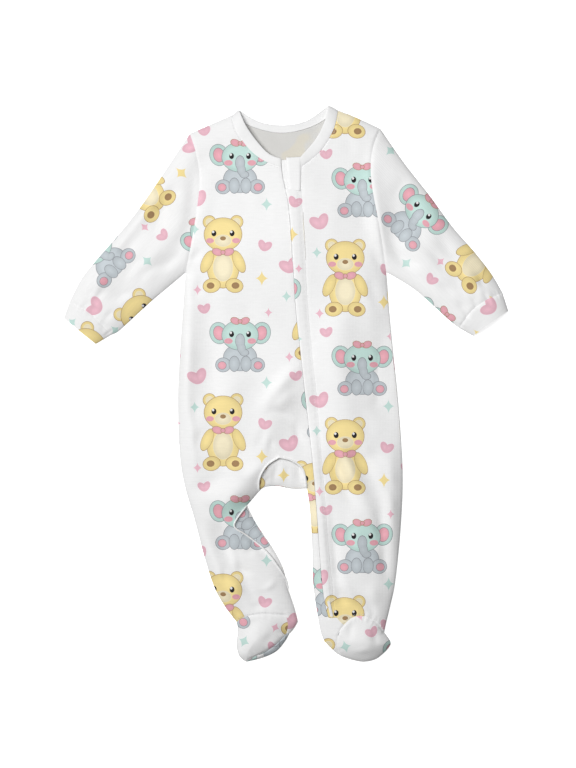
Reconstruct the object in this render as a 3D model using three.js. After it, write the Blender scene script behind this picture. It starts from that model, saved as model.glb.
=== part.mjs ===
// Footed baby sleepsuit, laid flat on its back: sleeves out, zip from the neck to one ankle,
// the legs a little apart and one foot turned on its side.
// Millimetres. +X is to the right as one looks at the front, +Y runs to the neck, +Z is out of
// the surface that the suit lies on. Left and right are as seen from the front.
import * as THREE from "three";

// Cloth and lay
const CLOTH = 1.5;
const RIB_CLOTH = 1.6;
const CUFF_CLOTH = 1.8;
const SEAM_GAP = 0.3;
const EDGE_TOP = 3.4;
const LOFT = 3.0;
const EDGE_ROUND = 14;
const EDGE_UNDER = 1.2;
const UNDER_ROUND = 4;
const FOLD_INSET = 3.2;
const SOLE_CLEAR = 0.05;
const BAND_PROUD = 0.4;
const BAND_TUCK = 0.05;
const BAND_CROWN = 0.3;
const GUSSET_LOFT = 1.5;
const GUSSET_FOLD_SHARE = 0.3;
const GUSSET_NARROWEST = 1.2;

// Zip
const FLAP_PROUD = 0.5;
const FLAP_CLOTH = 1.6;
const FLAP_CLEAR = 0.4;
const FLAP_TOP_Y = 205;
const FLAP_END_Y = -229;
const TAPE_CLOTH = 1.0;
const TAPE_UNDER_FRONT = 4;
const TAPE_DROP = 0.5;
const GUARD_CLOTH = 1.4;
const GUARD_ABOVE_FRONT = 1.1;
const SLIDER = { x: 8.5, y: 224, width: 7.5, length: 11, height: 1.9, tabWidth: 4.5, tabLength: 12 };
const STOP = { top: -229.6, end: -246, halfWidth: 2.6, thick: 1.2 };

// Turns rows of numbers into rows with named columns
function table(names, rows) {
  const keys = names.split(" ");
  return rows.map((row) => Object.fromEntries(keys.map((key, i) => [key, row[i]])));
}

// Body sections from the underarm to the ankles
const BODY = table("y left gap stitch right", [
  [228.4, -92.4, -5.3, 15.4, 90.1],
  [215, -91.4, -3.2, 15.4, 90.2],
  [190, -93.4, 2.0, 16.1, 93.0],
  [160, -98.0, 5.0, 17.8, 99.8],
  [118, -106.0, 7.6, 20.2, 106.0],
  [78, -109.2, 10.1, 22.7, 109.1],
  [33, -112.4, 15.0, 26.8, 113.4],
  [-17, -114.5, 20.5, 31.8, 118.5],
  [-78, -112.2, 27.2, 36.9, 122.9],
  [-109, -107.0, 30.1, 39.4, 123.5],
  [-145, -96.5, 32.9, 42.2, 121.9],
  [-185, -85.9, 35.6, 45.5, 118.5],
  [-217, -75.3, 38.5, 48.6, 114.5],
  [-236, -64.7, 41.5, 50.2, 110.2],
  [-247, -56.6, 44.6, 53.0, 107.6],
  [-252.5, -52.3, 46.0, 57.0, 106.2],
  [-263.4, -50.4, 50.0, 62.0, 103.9],
]);

// Inner lines of the two legs; the seam is where the front meets the gusset of the left leg
const LEFT_LEG = table("y inner seam", [
  [-129, -41.3, -41.3],
  [-144, -34.0, -52.6],
  [-152, -29.2, -54.1],
  [-160, -23.8, -42.4],
  [-176, -13.2, -22.3],
  [-193.5, -4.0, -8.5],
  [-208, 0.2, 0.0],
  [-217, 2.1, 2.1],
  [-236, 8.5, 8.5],
  [-251.8, 12.7, 12.7],
]);
const RIGHT_LEG = table("y inner", [
  [-111, 22.3],
  [-134, 25.4],
  [-171, 27.6],
  [-210, 28.6],
  [-242, 32.9],
  [-270, 39.2],
  [-283.6, 50.9],
]);

// Sleeve sections from the armhole to the cuff seam, then the end of the cuff
const SLEEVE = {
  left: table("upperX upperY lowerX lowerY", [
    [-101.8, 264.5, -106.0, 118.0],
    [-126.0, 228.0, -122.0, 104.5],
    [-154.8, 186.0, -140.5, 89.0],
    [-180.0, 154.5, -156.0, 75.0],
    [-201.0, 130.5, -168.0, 63.8],
    [-217.0, 110.0, -178.0, 55.0],
    [-229.0, 86.4, -185.5, 51.4],
    [-235.2, 69.4, -201.4, 41.9],
  ]),
  right: table("upperX upperY lowerX lowerY", [
    [99.6, 269.8, 106.0, 118.0],
    [124.5, 234.0, 121.0, 109.5],
    [152.6, 198.0, 137.0, 99.0],
    [176.0, 166.0, 151.0, 87.0],
    [200.0, 138.5, 163.0, 76.0],
    [217.3, 116.1, 174.0, 66.0],
    [229.0, 95.9, 183.4, 58.8],
    [235.2, 76.9, 198.2, 50.4],
  ]),
};
const CUFF_SEAM = {
  left: [[-185.5, 51.4], [-199.3, 67.3], [-212.6, 77.5], [-229.0, 86.4]],
  right: [[183.4, 58.8], [196.1, 76.9], [212.0, 88.5], [229.0, 95.9]],
};

// Armholes from the underarm to the shoulder, and the shoulder lines
const ARMHOLE = {
  left: [[-106.0, 118.0], [-97.8, 162.0], [-91.4, 211.0], [-94.6, 241.0], [-101.8, 264.5]],
  right: [[106.0, 118.0], [99.6, 160.0], [90.0, 214.0], [91.2, 246.0], [99.6, 269.8]],
};
const SHOULDER = {
  left: [[-101.8, 264.5], [-77.4, 275.3], [-57.2, 284.1]],
  right: [[99.6, 269.8], [75.3, 281.2], [55.1, 289.4]],
};

// Neck lines: the seam is where the band meets the body, the fold is the band's free edge
const NECK = {
  leftSeam: [[-57.2, 284.1], [-53.0, 268.0], [-40.3, 249.0], [-24.0, 235.6], [-5.3, 228.4]],
  leftFold: [[-49.8, 289.9], [-43.0, 273.5], [-30.6, 255.6], [-18.0, 242.4], [-5.8, 237.4]],
  backSeam: [[-57.2, 284.1], [-36.0, 271.8], [-4.0, 265.2], [28.6, 272.5], [55.1, 289.4]],
  backFold: [[-49.8, 289.9], [-28.2, 277.4], [-3.0, 273.7], [22.0, 278.6], [45.1, 294.7]],
  rightSeam: [[55.1, 289.4], [50.0, 268.0], [36.0, 245.5], [15.4, 228.4]],
  rightFold: [[45.1, 294.7], [41.6, 279.1], [31.8, 258.7], [15.6, 239.4]],
};

// Crotch: the arch is the front's lower edge, the hem is the garment's outline below it
const CROTCH = {
  top: [-7.4, -78],
  archLeft: [[-7.4, -78], [-20.1, -86.5], [-28.1, -100.5], [-28.6, -114.0]],
  archRight: [[-7.4, -78], [6.0, -81.4], [18.0, -90.8], [22.3, -111.0]],
  thigh: [[-28.6, -114.0], [-34.5, -121.0], [-41.3, -129.0]],
  hem: [[-28.6, -114.0], [-22.5, -109.6], [-9.0, -108.6], [6.0, -111.2], [22.3, -111.0]],
};

// Feet: the left one lies on its side, the right one shows its upper
const LEFT_FOOT = {
  seam: [[-52.3, -252.5], [-44.5, -247.0], [-26.0, -243.4], [0.0, -244.9]],
  heel: [[0.0, -244.9], [2.0, -255.0], [0.6, -264.0]],
  heelOutline: [[12.7, -251.8], [8.6, -259.0], [3.6, -264.6], [0.6, -264.0]],
  toe: [[-52.3, -252.5], [-50.8, -262.0], [-52.5, -276.0], [-49.4, -288.4], [-42.4, -294.6]],
  soleSeam: [[0.6, -264.0], [-8.0, -273.0], [-19.1, -281.6], [-33.4, -289.0], [-40.0, -292.6]],
  soleOutline: [[3.6, -264.6], [-1.1, -272.9], [-10.6, -283.6], [-25.4, -290.4], [-42.4, -294.6]],
};
const RIGHT_FOOT = {
  arch: [[61.1, -254.9], [67.8, -248.6], [76.3, -245.4], [86.0, -247.0], [96.0, -253.4], [103.9, -263.4]],
  side: [[61.1, -254.9], [55.2, -264.4], [54.1, -277.2], [58.6, -288.6]],
  outerSide: [[103.9, -263.4], [110.8, -274.5], [106.0, -283.0]],
  toe: [[58.6, -288.6], [70.0, -292.6], [82.7, -294.5], [95.4, -291.5], [106.0, -283.0]],
  zipFoot: [[53.6, -247.2], [57.0, -251.3], [61.1, -254.9]],
  heelY: -257,
};

// Largest folds of the front layer: centre, direction in degrees, full length, breadth, height
const FOLDS = table("x y angle length breadth height", [
  [-3, -18, 41, 36, 7, 1.4],
  [-36, -86, 37, 46, 8, 1.8],
  [-27, -97, 37, 34, 5, -0.9],
  [-16, -64, 88, 22, 4, -0.8],
  [-97, -30, 90, 46, 6, -0.9],
  [-69, -115, 18, 44, 14, 1.2],
  [-66, -166, -51, 60, 9, -1.4],
  [-57, -166, -70, 30, 5, 1.3],
  [-53, -214, -60, 26, 6, 1.2],
  [-28, -226, 12, 30, 7, -0.8],
  [52, -83, -78, 54, 7, -1.2],
  [93, -77, -35, 28, 6, -1.0],
  [84, -140, -68, 60, 12, 0.9],
  [60, -225, -50, 26, 6, -1.2],
  [92, -222, -60, 32, 7, 0.9],
  [104, 20, 88, 80, 9, -1.0],
  [-103, 60, 86, 60, 8, -0.9],
  [-112, 152, 62, 46, 7, -1.1],
  [110, 156, 118, 46, 7, -1.1],
  [-84, 236, 70, 50, 9, -0.9],
  [84, 240, 108, 50, 9, -0.9],
  [-146, 146, 48, 70, 10, 0.9],
  [150, 150, 132, 70, 10, 0.9],
  [-178, 96, 52, 40, 7, -0.9],
  [181, 104, 128, 40, 7, -0.9],
  [-40, 140, 68, 70, 16, 0.7],
  [60, 60, 96, 90, 16, 0.6],
  [-52, 10, 112, 70, 15, 0.6],
  [-212, 82, 54, 16, 3, -0.8],
  [-203, 76, 54, 16, 3, -0.8],
  [211, 92, 124, 16, 3, -0.8],
  [200, 86, 124, 16, 3, -0.8],
]);

// Spacing of the sections: even, or closer where the cloth rounds over
const even = (t) => t;
const closeFirst = (t) => 1 - Math.cos((Math.PI * t) / 2);
const closeLast = (t) => Math.sin((Math.PI * t) / 2);
const closeBoth = (t) => (1 - Math.cos(Math.PI * t)) / 2;

const mix = (a, b, t) => a + (b - a) * t;
const steps = (count, spacing = even) =>
  Array.from({ length: count + 1 }, (_, i) => spacing(i / count));

// Smooth line through a few points, as count + 1 points
function line(points, count, spacing = even) {
  const spline = new THREE.SplineCurve(points.map(([x, y]) => new THREE.Vector2(x, y)));
  return steps(count, spacing).map((t) => spline.getPointAt(t));
}

// Smooth value of one column of a table at a given y
function column(rows, name, y) {
  const last = rows.length - 2;
  const found = rows.findIndex((row, i) => i <= last && y >= rows[i + 1].y);
  const i = found < 0 ? last : found;
  const row = (k) => rows[Math.min(Math.max(k, 0), rows.length - 1)];
  const slope = (k) => (row(k + 1)[name] - row(k - 1)[name]) / (row(k + 1).y - row(k - 1).y);
  const span = rows[i + 1].y - rows[i].y;
  const t = Math.min(Math.max((y - rows[i].y) / span, 0), 1);
  const rise = t * t * (3 - 2 * t);
  return (
    mix(rows[i][name], rows[i + 1][name], rise) +
    span * t * (1 - t) * ((1 - t) * slope(i) - t * slope(i + 1))
  );
}

// Points down a column between two heights
function down(rows, name, top, bottom, count, spacing = even) {
  return steps(count, spacing).map((t) => {
    const y = mix(top, bottom, t);
    return new THREE.Vector2(column(rows, name, y), y);
  });
}

// Point of a column at one height
const at = (rows, name, y) => new THREE.Vector2(column(rows, name, y), y);

// Lines end to end, each starting where the last one stopped
const join = (...lines) => lines.flatMap((points, i) => (i ? points.slice(1) : points));
const shifted = (points, dx) => points.map((p) => new THREE.Vector2(p.x + dx, p.y));
const straight = (a, b, count, spacing = even) =>
  steps(count, spacing).map((t) => new THREE.Vector2(mix(a.x, b.x, t), mix(a.y, b.y, t)));

// One edge of a sleeve as points
const sleeveEdge = (rows, side) => rows.map((row) => [row[side + "X"], row[side + "Y"]]);

// The garment's outline, from which the height of the front layer is worked out
const OUTLINE = [
  line(SHOULDER.left, 6),
  line(SHOULDER.right, 6),
  line([NECK.leftFold[0], NECK.leftSeam[0]], 1),
  line([NECK.rightFold[0], NECK.rightSeam[0]], 1),
  ...["left", "right"].flatMap((side) => [
    line(sleeveEdge(SLEEVE[side], "upper"), 30),
    line(sleeveEdge(SLEEVE[side], "lower"), 24),
  ]),
  down(BODY, "left", 118, -252.5, 60),
  down(BODY, "right", 118, -263.4, 60),
  line(CROTCH.hem, 10),
  line(CROTCH.thigh, 4),
  down(LEFT_LEG, "inner", -129, -251.8, 24),
  line(LEFT_FOOT.heelOutline, 4),
  line(LEFT_FOOT.soleOutline, 10),
  line(LEFT_FOOT.toe, 10),
  down(RIGHT_LEG, "inner", -111, -283.6, 30),
  line([[50.9, -283.6], [58.6, -288.6]], 1),
  line(RIGHT_FOOT.toe, 10),
  line(RIGHT_FOOT.outerSide, 6),
].flatMap((points) => points.slice(1).map((end, i) => [points[i], end]));

// Distance in plan from a point to the outline
function inside(x, y) {
  let nearest = Infinity;
  for (const [a, b] of OUTLINE) {
    const dx = b.x - a.x;
    const dy = b.y - a.y;
    const along = ((x - a.x) * dx + (y - a.y) * dy) / (dx * dx + dy * dy || 1);
    const t = Math.min(Math.max(along, 0), 1);
    nearest = Math.min(nearest, Math.hypot(x - a.x - t * dx, y - a.y - t * dy));
  }
  return nearest;
}

// Share of a rounded edge's full height, from 0 at the outline to 1 past its breadth
function roundOver(distance, breadth) {
  const t = Math.min(distance / breadth, 1);
  return Math.sqrt(1 - (1 - t) ** 2);
}

// Height that the folds add at a point
function foldHeight(x, y) {
  return FOLDS.reduce((sum, fold) => {
    const turn = THREE.MathUtils.degToRad(fold.angle);
    const dx = x - fold.x;
    const dy = y - fold.y;
    const along = (dx * Math.cos(turn) + dy * Math.sin(turn)) / (fold.length / 2);
    const across = (dy * Math.cos(turn) - dx * Math.sin(turn)) / fold.breadth;
    const taper = Math.abs(along) < 1 ? Math.cos((Math.PI * along) / 2) ** 2 : 0;
    return sum + fold.height * taper * Math.exp(-across * across);
  }, 0);
}

// Top of the front layer
function frontTop(x, y) {
  return EDGE_TOP + (LOFT + foldHeight(x, y)) * roundOver(inside(x, y), EDGE_ROUND);
}

// Plan grid between four lines: top and bottom run left to right, the sides run down
function grid(top, bottom, left, right) {
  const columns = top.length - 1;
  const rows = left.length - 1;
  return left.map((_, j) =>
    top.map((__, i) => {
      const s = i / columns;
      const t = j / rows;
      const blend = (axis) =>
        mix(top[i][axis], bottom[i][axis], t) +
        mix(left[j][axis], right[j][axis], s) -
        mix(
          mix(top[0][axis], top[columns][axis], s),
          mix(bottom[0][axis], bottom[columns][axis], s),
          t,
        );
      return new THREE.Vector2(blend("x"), blend("y"));
    }),
  );
}

// A point of a cloth wall: where its outer face is and where its inner face is
const pair = (x, y, outer, inner, innerX = x, innerY = y) => ({
  outer: new THREE.Vector3(x, y, outer),
  inner: new THREE.Vector3(innerX, innerY, inner),
});

// One layer of cloth over a plan grid, with its top given by a height function
const layer = (plan, height, thick = CLOTH) =>
  plan.map((row) =>
    row.map((p) => {
      const top = height(p.x, p.y);
      return pair(p.x, p.y, top, top - thick);
    }),
  );

// Cloth folded flat over a plan grid: its top, round the last edge, back underneath,
// and round the first edge too if it is a closed tube
function folded(plan, thick, closed) {
  return plan.map((row) => {
    const last = row.length - 1;
    const width = row[0].distanceTo(row[last]);
    const inset = Math.min(FOLD_INSET / width, 0.3);
    const innerPoint = (i) => {
      const share = Math.max(rowShare(row, i), closed ? inset : 0);
      return pointAt(row, Math.min(share, 1 - inset));
    };
    const upper = row.map((p, i) => {
      const q = innerPoint(i);
      return pair(p.x, p.y, frontTop(p.x, p.y), frontTop(q.x, q.y) - thick, q.x, q.y);
    });
    const under = row.map((p, i) => {
      const q = innerPoint(i);
      const low = EDGE_UNDER * (1 - roundOver(inside(p.x, p.y), UNDER_ROUND));
      return pair(p.x, p.y, low, thick, q.x, q.y);
    });
    const loop = [...upper, ...under.reverse()];
    return closed ? [...loop, upper[0]] : loop;
  });
}

// Share of a row's length that lies before its point i
function rowShare(row, i) {
  const lengths = row.slice(1).map((p, k) => p.distanceTo(row[k]));
  const total = lengths.reduce((sum, d) => sum + d, 0);
  return lengths.slice(0, i).reduce((sum, d) => sum + d, 0) / total;
}

// Point at a share of a row's length
function pointAt(row, share) {
  const found = row.findIndex((_, i) => i > 0 && rowShare(row, i) >= share);
  const end = found < 0 ? row.length - 1 : found;
  const before = rowShare(row, end - 1);
  const t = (share - before) / (rowShare(row, end) - before);
  return row[end - 1].clone().lerp(row[end], t);
}

// Closed solid from patches of wall points: shared edges are joined, open edges get a side
function wall(...patches) {
  const index = new Map();
  const points = [];
  const number = (point) => {
    const name = point.outer.toArray().map((v) => v.toFixed(2)).join();
    if (!index.has(name)) {
      index.set(name, points.length);
      points.push({ outer: point.outer.clone(), inner: point.inner.clone() });
    }
    return index.get(name);
  };
  const faces = [];
  for (const rows of patches) {
    for (let j = 0; j + 1 < rows.length; j++) {
      for (let i = 0; i + 1 < rows[j].length; i++) {
        const a = number(rows[j][i]);
        const b = number(rows[j + 1][i]);
        const c = number(rows[j + 1][i + 1]);
        const d = number(rows[j][i + 1]);
        for (const face of [[a, b, c], [a, c, d]]) {
          if (new Set(face).size === 3) faces.push(face);
        }
      }
    }
  }
  const edges = openEdges(faces);
  pullIn(points, edges);
  return solid(points, faces, edges);
}

// Flat layer on the floor inside a closed outline
function plate(outline) {
  const contour = outline.slice(0, -1);
  const points = contour.map((p) => pair(p.x, p.y, CLOTH, 0));
  const faces = THREE.ShapeUtils.triangulateShape(contour, []);
  const edges = openEdges(faces);
  pullIn(points, edges);
  return solid(points, faces, edges);
}

// Edges that only one face uses, each with that face's third corner
function openEdges(faces) {
  const used = new Map();
  for (const [a, b, c] of faces) {
    for (const [from, to, third] of [[a, b, c], [b, c, a], [c, a, b]]) {
      used.set(from + "," + to, [from, to, third]);
    }
  }
  return [...used.values()].filter(([from, to]) => !used.has(to + "," + from));
}

// Moves the open edges in by half a seam's gap
function pullIn(points, edges) {
  const moves = new Map();
  for (const [from, to, third] of edges) {
    const start = points[from].outer;
    const along = points[to].outer.clone().sub(start).normalize();
    const inward = points[third].outer.clone().sub(start);
    inward.addScaledVector(along, -inward.dot(along)).normalize();
    for (const end of [from, to]) {
      moves.set(end, (moves.get(end) ?? new THREE.Vector3()).add(inward));
    }
  }
  for (const [end, move] of moves) {
    move.setLength(SEAM_GAP / 2);
    points[end].outer.add(move);
    points[end].inner.x += move.x;
    points[end].inner.y += move.y;
  }
}

// Geometry of a wall's outer faces, inner faces and open sides, facing out
function solid(points, faces, edges) {
  const corners = [];
  const add = (...three) => three.forEach((v) => corners.push(v.x, v.y, v.z));
  for (const [a, b, c] of faces) {
    add(points[a].outer, points[b].outer, points[c].outer);
    add(points[c].inner, points[b].inner, points[a].inner);
  }
  for (const [from, to] of edges) {
    add(points[to].outer, points[from].outer, points[from].inner);
    add(points[to].outer, points[from].inner, points[to].inner);
  }
  return outward(corners);
}

// Turns a closed triangle list to face out and makes it a geometry
function outward(corners) {
  let volume = 0;
  for (let i = 0; i < corners.length; i += 9) {
    const [a, b, c] = [0, 3, 6].map((k) => new THREE.Vector3().fromArray(corners, i + k));
    volume += a.dot(b.cross(c));
  }
  if (volume < 0) {
    for (let i = 0; i < corners.length; i += 9) {
      for (let k = 0; k < 3; k++) {
        const held = corners[i + 3 + k];
        corners[i + 3 + k] = corners[i + 6 + k];
        corners[i + 6 + k] = held;
      }
    }
  }
  const geometry = new THREE.BufferGeometry();
  geometry.setAttribute("position", new THREE.Float32BufferAttribute(corners, 3));
  geometry.computeVertexNormals();
  return geometry;
}

// Materials
const PRINTED = new THREE.MeshStandardMaterial({ color: 0xf4f4f2, roughness: 0.9, metalness: 0 });
const BINDING = new THREE.MeshStandardMaterial({ color: 0xf8f8f7, roughness: 0.9, metalness: 0 });
const TAPE = new THREE.MeshStandardMaterial({ color: 0xf6f6f6, roughness: 0.7, metalness: 0 });
const PLASTIC = new THREE.MeshStandardMaterial({ color: 0xf2f2f2, roughness: 0.4, metalness: 0 });

const suit = new THREE.Group();
function piece(name, geometry, material = PRINTED) {
  const mesh = new THREE.Mesh(geometry, material);
  mesh.name = name;
  suit.add(mesh);
}

// Lines that several pieces share
const ARM_STEPS = 9;
const armhole = {
  left: line(ARMHOLE.left, ARM_STEPS, closeBoth),
  right: line(ARMHOLE.right, ARM_STEPS, closeBoth),
};
const armDown = {
  left: [...armhole.left].reverse(),
  right: [...armhole.right].reverse(),
};
const neckSeam = {
  left: line(NECK.leftSeam, 8),
  back: line(NECK.backSeam, 12),
  right: line(NECK.rightSeam, 8),
};
const shoulder = {
  left: line(SHOULDER.left, 5, closeFirst),
  right: line(SHOULDER.right, 5, closeFirst),
};
const hem = line(CROTCH.hem, 8);
const vampSeamLeft = line(LEFT_FOOT.seam, 7);
const vampSeamRight = line(RIGHT_FOOT.arch, 13, closeLast);
const heel = line(LEFT_FOOT.heel, 2);
const vampSide = line(RIGHT_FOOT.side, 6);
const zipFoot = line(RIGHT_FOOT.zipFoot, 2);

// Back: one flat layer that the suit rests on, cut in one with the backs of the legs
const heelY = RIGHT_FOOT.heelY;
const heelOutline = line(LEFT_FOOT.heelOutline, 3);
const backOutline = join(
  [...armDown.left].reverse(),
  shoulder.left,
  neckSeam.back,
  [...shoulder.right].reverse(),
  armDown.right,
  down(BODY, "right", 118, heelY, 28),
  straight(at(BODY, "right", heelY), at(RIGHT_LEG, "inner", heelY), 1),
  down(RIGHT_LEG, "inner", heelY, -111, 14),
  [...hem].reverse(),
  line(CROTCH.thigh, 2),
  down(LEFT_LEG, "inner", -129, -251.8, 14),
  heelOutline,
  [...heel].reverse(),
  [...vampSeamLeft].reverse(),
  down(BODY, "left", -252.5, 118, 30),
);
piece("back_panel", plate(backOutline));

// Left front: body, left leg and the strip beside the zip down to the right foot
const archTop = new THREE.Vector2(...CROTCH.top);
const bodyWaist = straight(at(BODY, "left", archTop.y), archTop, 9, closeFirst);
const stripWaist = straight(archTop, at(BODY, "gap", archTop.y), 4);
const frontBody = grid(
  join(shoulder.left, neckSeam.left),
  join(bodyWaist, stripWaist),
  join(armDown.left, down(BODY, "left", 118, archTop.y, 13)),
  down(BODY, "gap", 228.4, archTop.y, ARM_STEPS + 13),
);
const legSeam = down(LEFT_LEG, "seam", -129, -217, 12);
const frontLeg = grid(
  bodyWaist,
  join(vampSeamLeft, heel),
  down(BODY, "left", archTop.y, -252.5, 24),
  join(
    line(CROTCH.archLeft, 4),
    line(CROTCH.thigh, 2),
    legSeam,
    down(LEFT_LEG, "inner", -217, -251.8, 3),
    heelOutline,
  ),
);
const zipEndY = -247;
const stripAnkle = straight(at(RIGHT_LEG, "inner", zipEndY), at(BODY, "gap", zipEndY), 4);
const frontStrip = grid(
  stripWaist,
  stripAnkle,
  join(line(CROTCH.archRight, 4), down(RIGHT_LEG, "inner", -111, zipEndY, 13)),
  down(BODY, "gap", archTop.y, zipEndY, 17),
);
const frontHeel = grid(
  join(stripAnkle, straight(stripAnkle[4], zipFoot[0], 2)),
  line([[50.9, -283.6], [54.6, -286.4], [58.6, -288.6]], 6),
  down(RIGHT_LEG, "inner", zipEndY, -283.6, 8),
  join(zipFoot, vampSide),
);
const frontLeft = [frontBody, frontLeg, frontStrip, frontHeel].map((plan) => layer(plan, frontTop));
piece("front_panel_left", wall(...frontLeft));

// Right front: from the neck to the upper of the right foot
const frontRight = grid(
  join([...neckSeam.right].reverse(), [...shoulder.right].reverse()),
  vampSeamRight,
  join(
    down(BODY, "stitch", 228.4, -240, ARM_STEPS + 21),
    straight(at(BODY, "stitch", -240), zipFoot[0], 1),
    zipFoot,
  ),
  join(armDown.right, down(BODY, "right", 118, -263.4, 24)),
);
piece("front_panel_right", wall(layer(frontRight, frontTop)));

// Sleeves and cuffs: flattened tubes, open at both ends
for (const side of ["left", "right"]) {
  const rows = SLEEVE[side];
  const seam = rows.length - 1;
  const sleevePlan = grid(
    armhole[side],
    line(CUFF_SEAM[side], ARM_STEPS, closeBoth),
    line(sleeveEdge(rows.slice(0, seam), "lower"), 12),
    line(sleeveEdge(rows.slice(0, seam), "upper"), 12),
  );
  piece("sleeve_" + side, wall(folded(sleevePlan, CLOTH, true)));
  const end = rows[seam];
  const cuffPlan = grid(
    line(CUFF_SEAM[side], ARM_STEPS, closeBoth),
    line([[end.lowerX, end.lowerY], [end.upperX, end.upperY]], ARM_STEPS, closeBoth),
    line(sleeveEdge(rows.slice(seam - 1), "lower"), 3),
    line(sleeveEdge(rows.slice(seam - 1), "upper"), 3),
  );
  piece("cuff_" + side, wall(folded(cuffPlan, CUFF_CLOTH, true)));
}

// Neckband: one strip from the zip round the neck and back, folding over at each shoulder
function neckband() {
  const fold = {
    left: line(NECK.leftFold, 8),
    back: line(NECK.backFold, 12),
    right: line(NECK.rightFold, 8),
  };
  const half = (EDGE_TOP + BAND_PROUD) / 2;
  const front = (seam, free) => {
    const top = frontTop(seam.x, seam.y) + BAND_PROUD;
    return [
      pair(seam.x, seam.y, top, top - RIB_CLOTH),
      pair(mix(seam.x, free.x, 0.5), mix(seam.y, free.y, 0.5), top + BAND_CROWN, top - RIB_CLOTH),
      pair(free.x, free.y, top, top - RIB_CLOTH),
    ];
  };
  const back = (seam, free) => [
    pair(seam.x, seam.y, 0, RIB_CLOTH),
    pair(mix(seam.x, free.x, 0.5), mix(seam.y, free.y, 0.5), 0, RIB_CLOTH + BAND_CROWN),
    pair(free.x, free.y, 0, RIB_CLOTH),
  ];
  const overShoulder = (seam, free, angle) => {
    const along = free.clone().sub(seam).normalize();
    const out = new THREE.Vector2(-along.y, along.x);
    if (out.y < 0) out.negate();
    const reach = (radius) => radius * Math.cos(angle) - half;
    const across = (share) => {
      const x = mix(seam.x, free.x, share);
      const y = mix(seam.y, free.y, share);
      const inner = half - RIB_CLOTH;
      return pair(
        x + out.x * reach(half),
        y + out.y * reach(half),
        half + half * Math.sin(angle),
        half + inner * Math.sin(angle),
        x + out.x * reach(inner),
        y + out.y * reach(inner),
      );
    };
    return [across(BAND_TUCK), across(0.5), across(1)];
  };
  const turns = [0.6, 0, -0.6];
  const leftUp = neckSeam.left.map((p, i) => front(p, fold.left[i])).reverse().slice(0, -1);
  const leftOver = turns.map((angle) => overShoulder(neckSeam.left[0], fold.left[0], angle));
  const across = neckSeam.back.map((p, i) => back(p, fold.back[i])).slice(1, -1);
  const rightOver = turns.map((angle) => overShoulder(neckSeam.right[0], fold.right[0], angle)).reverse();
  const rightDown = neckSeam.right.map((p, i) => front(p, fold.right[i])).slice(1);
  return wall([...leftUp, ...leftOver, ...across, ...rightOver, ...rightDown]);
}
piece("neckband", neckband(), BINDING);

// Zip: tape under the fronts, flap over it, guard at the neck, slider under the guard, end stop
const tapeTop = (x, y) => frontTop(x, y) - CLOTH - TAPE_DROP;
const tapePlan = grid(
  [new THREE.Vector2(-9, 226), new THREE.Vector2(7, 226), new THREE.Vector2(19, 226)],
  [new THREE.Vector2(38, -226), new THREE.Vector2(44, -226), new THREE.Vector2(51, -226)],
  shifted(down(BODY, "gap", 226, -226, 26), -TAPE_UNDER_FRONT),
  shifted(down(BODY, "stitch", 226, -226, 26), TAPE_UNDER_FRONT),
);
piece("zip_tape", wall(layer(tapePlan, tapeTop, TAPE_CLOTH)), TAPE);

const flapTop = (x, y) => frontTop(x, y) + FLAP_PROUD;
const flapLeft = shifted(down(BODY, "gap", FLAP_TOP_Y, FLAP_END_Y, 36), FLAP_CLEAR);
const flapRight = shifted(down(BODY, "stitch", FLAP_TOP_Y, FLAP_END_Y, 36), -FLAP_CLEAR);
const flapPlan = grid(
  straight(flapLeft[0], flapRight[0], 3),
  straight(flapLeft[36], flapRight[36], 3),
  flapLeft,
  flapRight,
);
piece("zip_flap", wall(layer(flapPlan, flapTop, FLAP_CLOTH)));

const guardTop = (x, y) => frontTop(x, y) + GUARD_ABOVE_FRONT + GUARD_CLOTH;
const guardPlan = grid(
  line([[0, 238.5], [16.6, 239.5]], 4),
  line([[3.4, 202], [15.8, 202]], 4),
  line([[0, 238.5], [3.4, 202]], 6),
  line([[16.6, 239.5], [15.8, 202]], 6),
);
piece("chin_guard", wall(layer(guardPlan, guardTop, GUARD_CLOTH)));

function slider() {
  const shape = new THREE.Shape();
  const top = SLIDER.y + SLIDER.length / 2;
  const low = SLIDER.y - SLIDER.length / 2;
  const half = SLIDER.width / 2;
  const tab = SLIDER.tabWidth / 2;
  shape.moveTo(SLIDER.x - half, top);
  shape.lineTo(SLIDER.x - half * 0.8, low);
  shape.lineTo(SLIDER.x - tab, low);
  shape.lineTo(SLIDER.x - tab, low - SLIDER.tabLength + tab);
  shape.absarc(SLIDER.x, low - SLIDER.tabLength + tab, tab, Math.PI, 2 * Math.PI, false);
  shape.lineTo(SLIDER.x + tab, low);
  shape.lineTo(SLIDER.x + half * 0.8, low);
  shape.lineTo(SLIDER.x + half, top);
  const geometry = new THREE.ExtrudeGeometry(shape, {
    depth: SLIDER.height,
    bevelEnabled: false,
    curveSegments: 6,
  });
  const rest = frontTop(SLIDER.x, SLIDER.y) - CLOTH;
  return geometry.translate(0, 0, rest);
}
piece("zip_slider", slider(), PLASTIC);

const stopCentre = (y) => (column(BODY, "gap", y) + column(BODY, "stitch", y)) / 2;
const stopSide = (sign) =>
  steps(4).map((t) => {
    const y = mix(STOP.top, STOP.end, t);
    return new THREE.Vector2(stopCentre(y) + sign * STOP.halfWidth, y);
  });
const stopPlan = grid(
  straight(stopSide(-1)[0], stopSide(1)[0], 2),
  straight(stopSide(-1)[4], stopSide(1)[4], 2),
  stopSide(-1),
  stopSide(1),
);
piece("zip_stop", wall(layer(stopPlan, flapTop, STOP.thick)), TAPE);

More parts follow.
